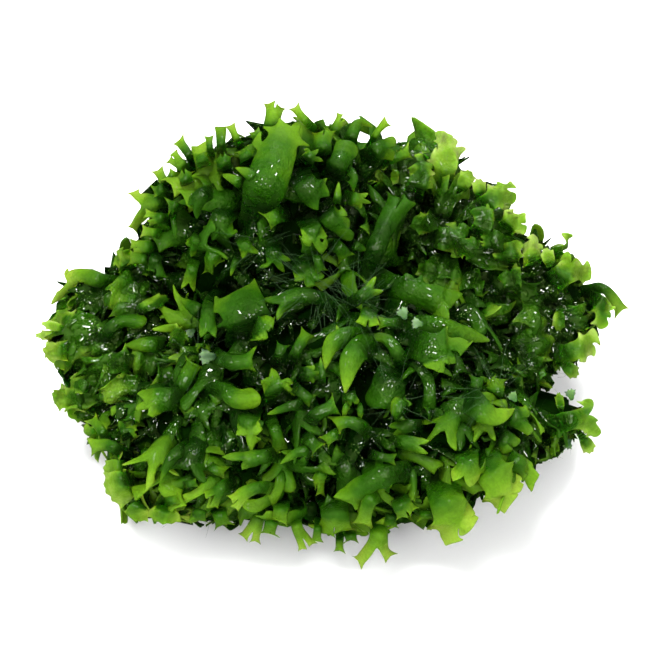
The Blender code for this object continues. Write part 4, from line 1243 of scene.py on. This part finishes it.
def buildColony(name):
    colony, piece, thin = colonies[name], colonyPieces[name], name in ruffled
    rng = np.random.default_rng(zlib.crc32(name.encode()))
    mix, thick = (ruffledMix, 0.28) if thin else (plainMix, 0.42)
    shapes = {fine: modelSmall(mix, fine, thick, rng) for fine in (False, True)}
    for layer, count in zip(layers, colony["counts"]):
        for shape, points, tint, fresh in smallFronds(name, shapes[layer["fine"]], count, layer["share"],
                                                      colony["size"] * layer["long"], layer["lively"], heights, rng):
            age = shape["age"] * (colony["glow"] * layer["young"]) + fresh + layer["fresh"]
            # painted light: ruffled fronds are lighter at their side margins and far tips, where light comes through
            # the thin sheet
            if thin:
                age = age + 0.22 * np.minimum(np.abs(shape["points"][:, 0]) / 4, 1) ** 3
                age = age + 0.2 * smoothStep(shape["age"], 0.8, 1)
            piece.add(shape, points, np.clip(age, 0, 1.5), tint)
    mat = modelMat(name)
    piece.add(mat, mat["points"], np.full(len(mat["points"]), 0.3), 0.5, 1)
    for place, away in freeSpots(name, hairsEach, 0.8, rng):
        turn = rng.normal(0, 1, (3, 3))[0]
        axis = unit(away * 0.3 + rng.normal(0, 0.6, 3))
        points = overFloor(place - away * 1.5 + hair["points"] @ standAlong(axis, turn) * rng.uniform(0.7, 1.3))
        piece.add(hair, points, np.full(len(points), 0.6), 0.5, 2)
    for on, *patch in feltPatches:
        if on == name:
            layFelt(piece, *patch, rng)
    for on, *place in paleFlakes:
        if on == name:
            layFlake(piece, *place)
    kinds = ("pelliaThinFrond" if thin else "pelliaFrond", "pelliaShadedMat", "pelliaRootHair", "paleFlake")
    piece.make([plantMaterials[kind] for kind in kinds], "root", name, name)
    print(name, "made of", len(piece.points), "shapes,", sum(int((s - 2).sum()) for s in piece.sizes), "triangles")


heights = HeightMap()
colonyPieces = {name: Piece(name + "Fronds") for name in colonies}
rngAll = np.random.default_rng(7)
for on, fronds in largeFronds.items():
    for frond in fronds:
        buildLarge(on, *frond)
hair = modelHair()
flakeSpec = {"trunk": [(0, 0), (0, 4)], "tips": [(0, 9)], "wide": 8, "lobes": 6}
flake = modelRuffle(flakeSpec, rngAll)
thicken(flake, 0.6, 0)
flake = takeShape(flake, flakeSpec)
print("large fronds made")
for name in colonies:
    buildColony(name)

# Floor, light and camera
deselectAll()
bpy.ops.mesh.primitive_plane_add(size=6, location=(0, 0, -0.0002))
floor = bpy.context.object
floor.name = "paleFloor"
floorMaterial = bpy.data.materials.new("palePaint")
floorMaterial.use_nodes = True
floorTree = NodeTree(floorMaterial.node_tree)
floorTone = floorTree.ranged(floorTree.noise(3), 0.3, 0.7, 0.0, 1.0)
floorShader = floorTree.nodes["Principled BSDF"].inputs
floorTree.feed(floorShader["Base Color"], floorTree.mixed(floorTone, (0.96, 0.96, 0.96, 1), (0.98, 0.98, 0.98, 1)))
floorTree.feed(floorShader["Roughness"], 0.7)
floorTree.feed(floorShader["Specular IOR Level"], 0.2)
floor.data.materials.append(floorMaterial)
floor.visible_glossy = False

target = (sheetMiddle + standShift) * 0.001
world = bpy.data.worlds.new("studio")
bpy.context.scene.world = world
world.use_nodes = True
world.node_tree.nodes["Background"].inputs["Color"].default_value = (1, 1, 1, 1)
world.node_tree.nodes["Background"].inputs["Strength"].default_value = 0.85
world.cycles_visibility.glossy = False

# Soft lamps give the light, and the small sparkle lamps show only in the wet gloss
lamps = {
    "keyLight": {"place": (-0.16, -0.2, 0.85), "size": 0.4, "power": 12.5},
    "fillLight": {"place": (0.5, -0.6, 0.5), "size": 0.5, "power": 5},
    "frontLight": {"place": (-0.15, -0.85, 0.3), "size": 0.5, "power": 3.5},
    "leftLight": {"place": (-0.8, -0.2, 0.4), "size": 0.5, "power": 4},
    "backLight": {"place": (0.1, 0.7, 0.6), "size": 0.4, "power": 10},
}
sparkles = {"size": 0.08, "power": 2.2, "places": (
    (-0.3, -0.35, 0.6), (0.35, -0.45, 0.5), (-0.05, -0.65, 0.35), (0.15, 0.1, 0.8), (-0.55, -0.35, 0.35),
    (0.6, -0.15, 0.5), (-0.1, -0.15, 0.85), (0.1, 0.65, 0.5), (-0.45, 0.2, 0.6), (0.3, -0.7, 0.2),
    (-0.35, -0.7, 0.2), (0.05, -0.4, 0.65), (0.45, 0.2, 0.6))}


def pointing(way):
    return Vector(way).to_track_quat("Z", "Y").to_euler()


def softLight(name, place, size, power, inGloss=False):
    data = bpy.data.lights.new(name, "AREA")
    data.shape, data.size, data.energy = "DISK", size, power
    made = bpy.data.objects.new(name, data)
    bpy.context.scene.collection.objects.link(made)
    made.location, made.visible_glossy, made.visible_diffuse = place, inGloss, not inGloss
    made.rotation_euler = pointing(np.array(place) - target)


for name, lamp in lamps.items():
    softLight(name, **lamp)
for number, place in enumerate(sparkles["places"]):
    softLight("sparkleLight%d" % number, place, sparkles["size"], sparkles["power"], True)

view = {"lens": 700, "sensor": 36, "picture": 665}  # millimetres, millimetres, pixels
camera = bpy.data.objects.new("camera", bpy.data.cameras.new("camera"))
bpy.context.scene.collection.objects.link(camera)
camera.data.lens, camera.data.sensor_width = view["lens"], view["sensor"]
distance = view["picture"] * sheet["pixel"] * 0.001 * view["lens"] / view["sensor"]
camera.location = target + offWay * distance
camera.rotation_euler = pointing(offWay)
camera.data.clip_end = 100
bpy.context.scene.camera = camera
bpy.context.scene.view_settings.view_transform = "Standard"
print("stage set")
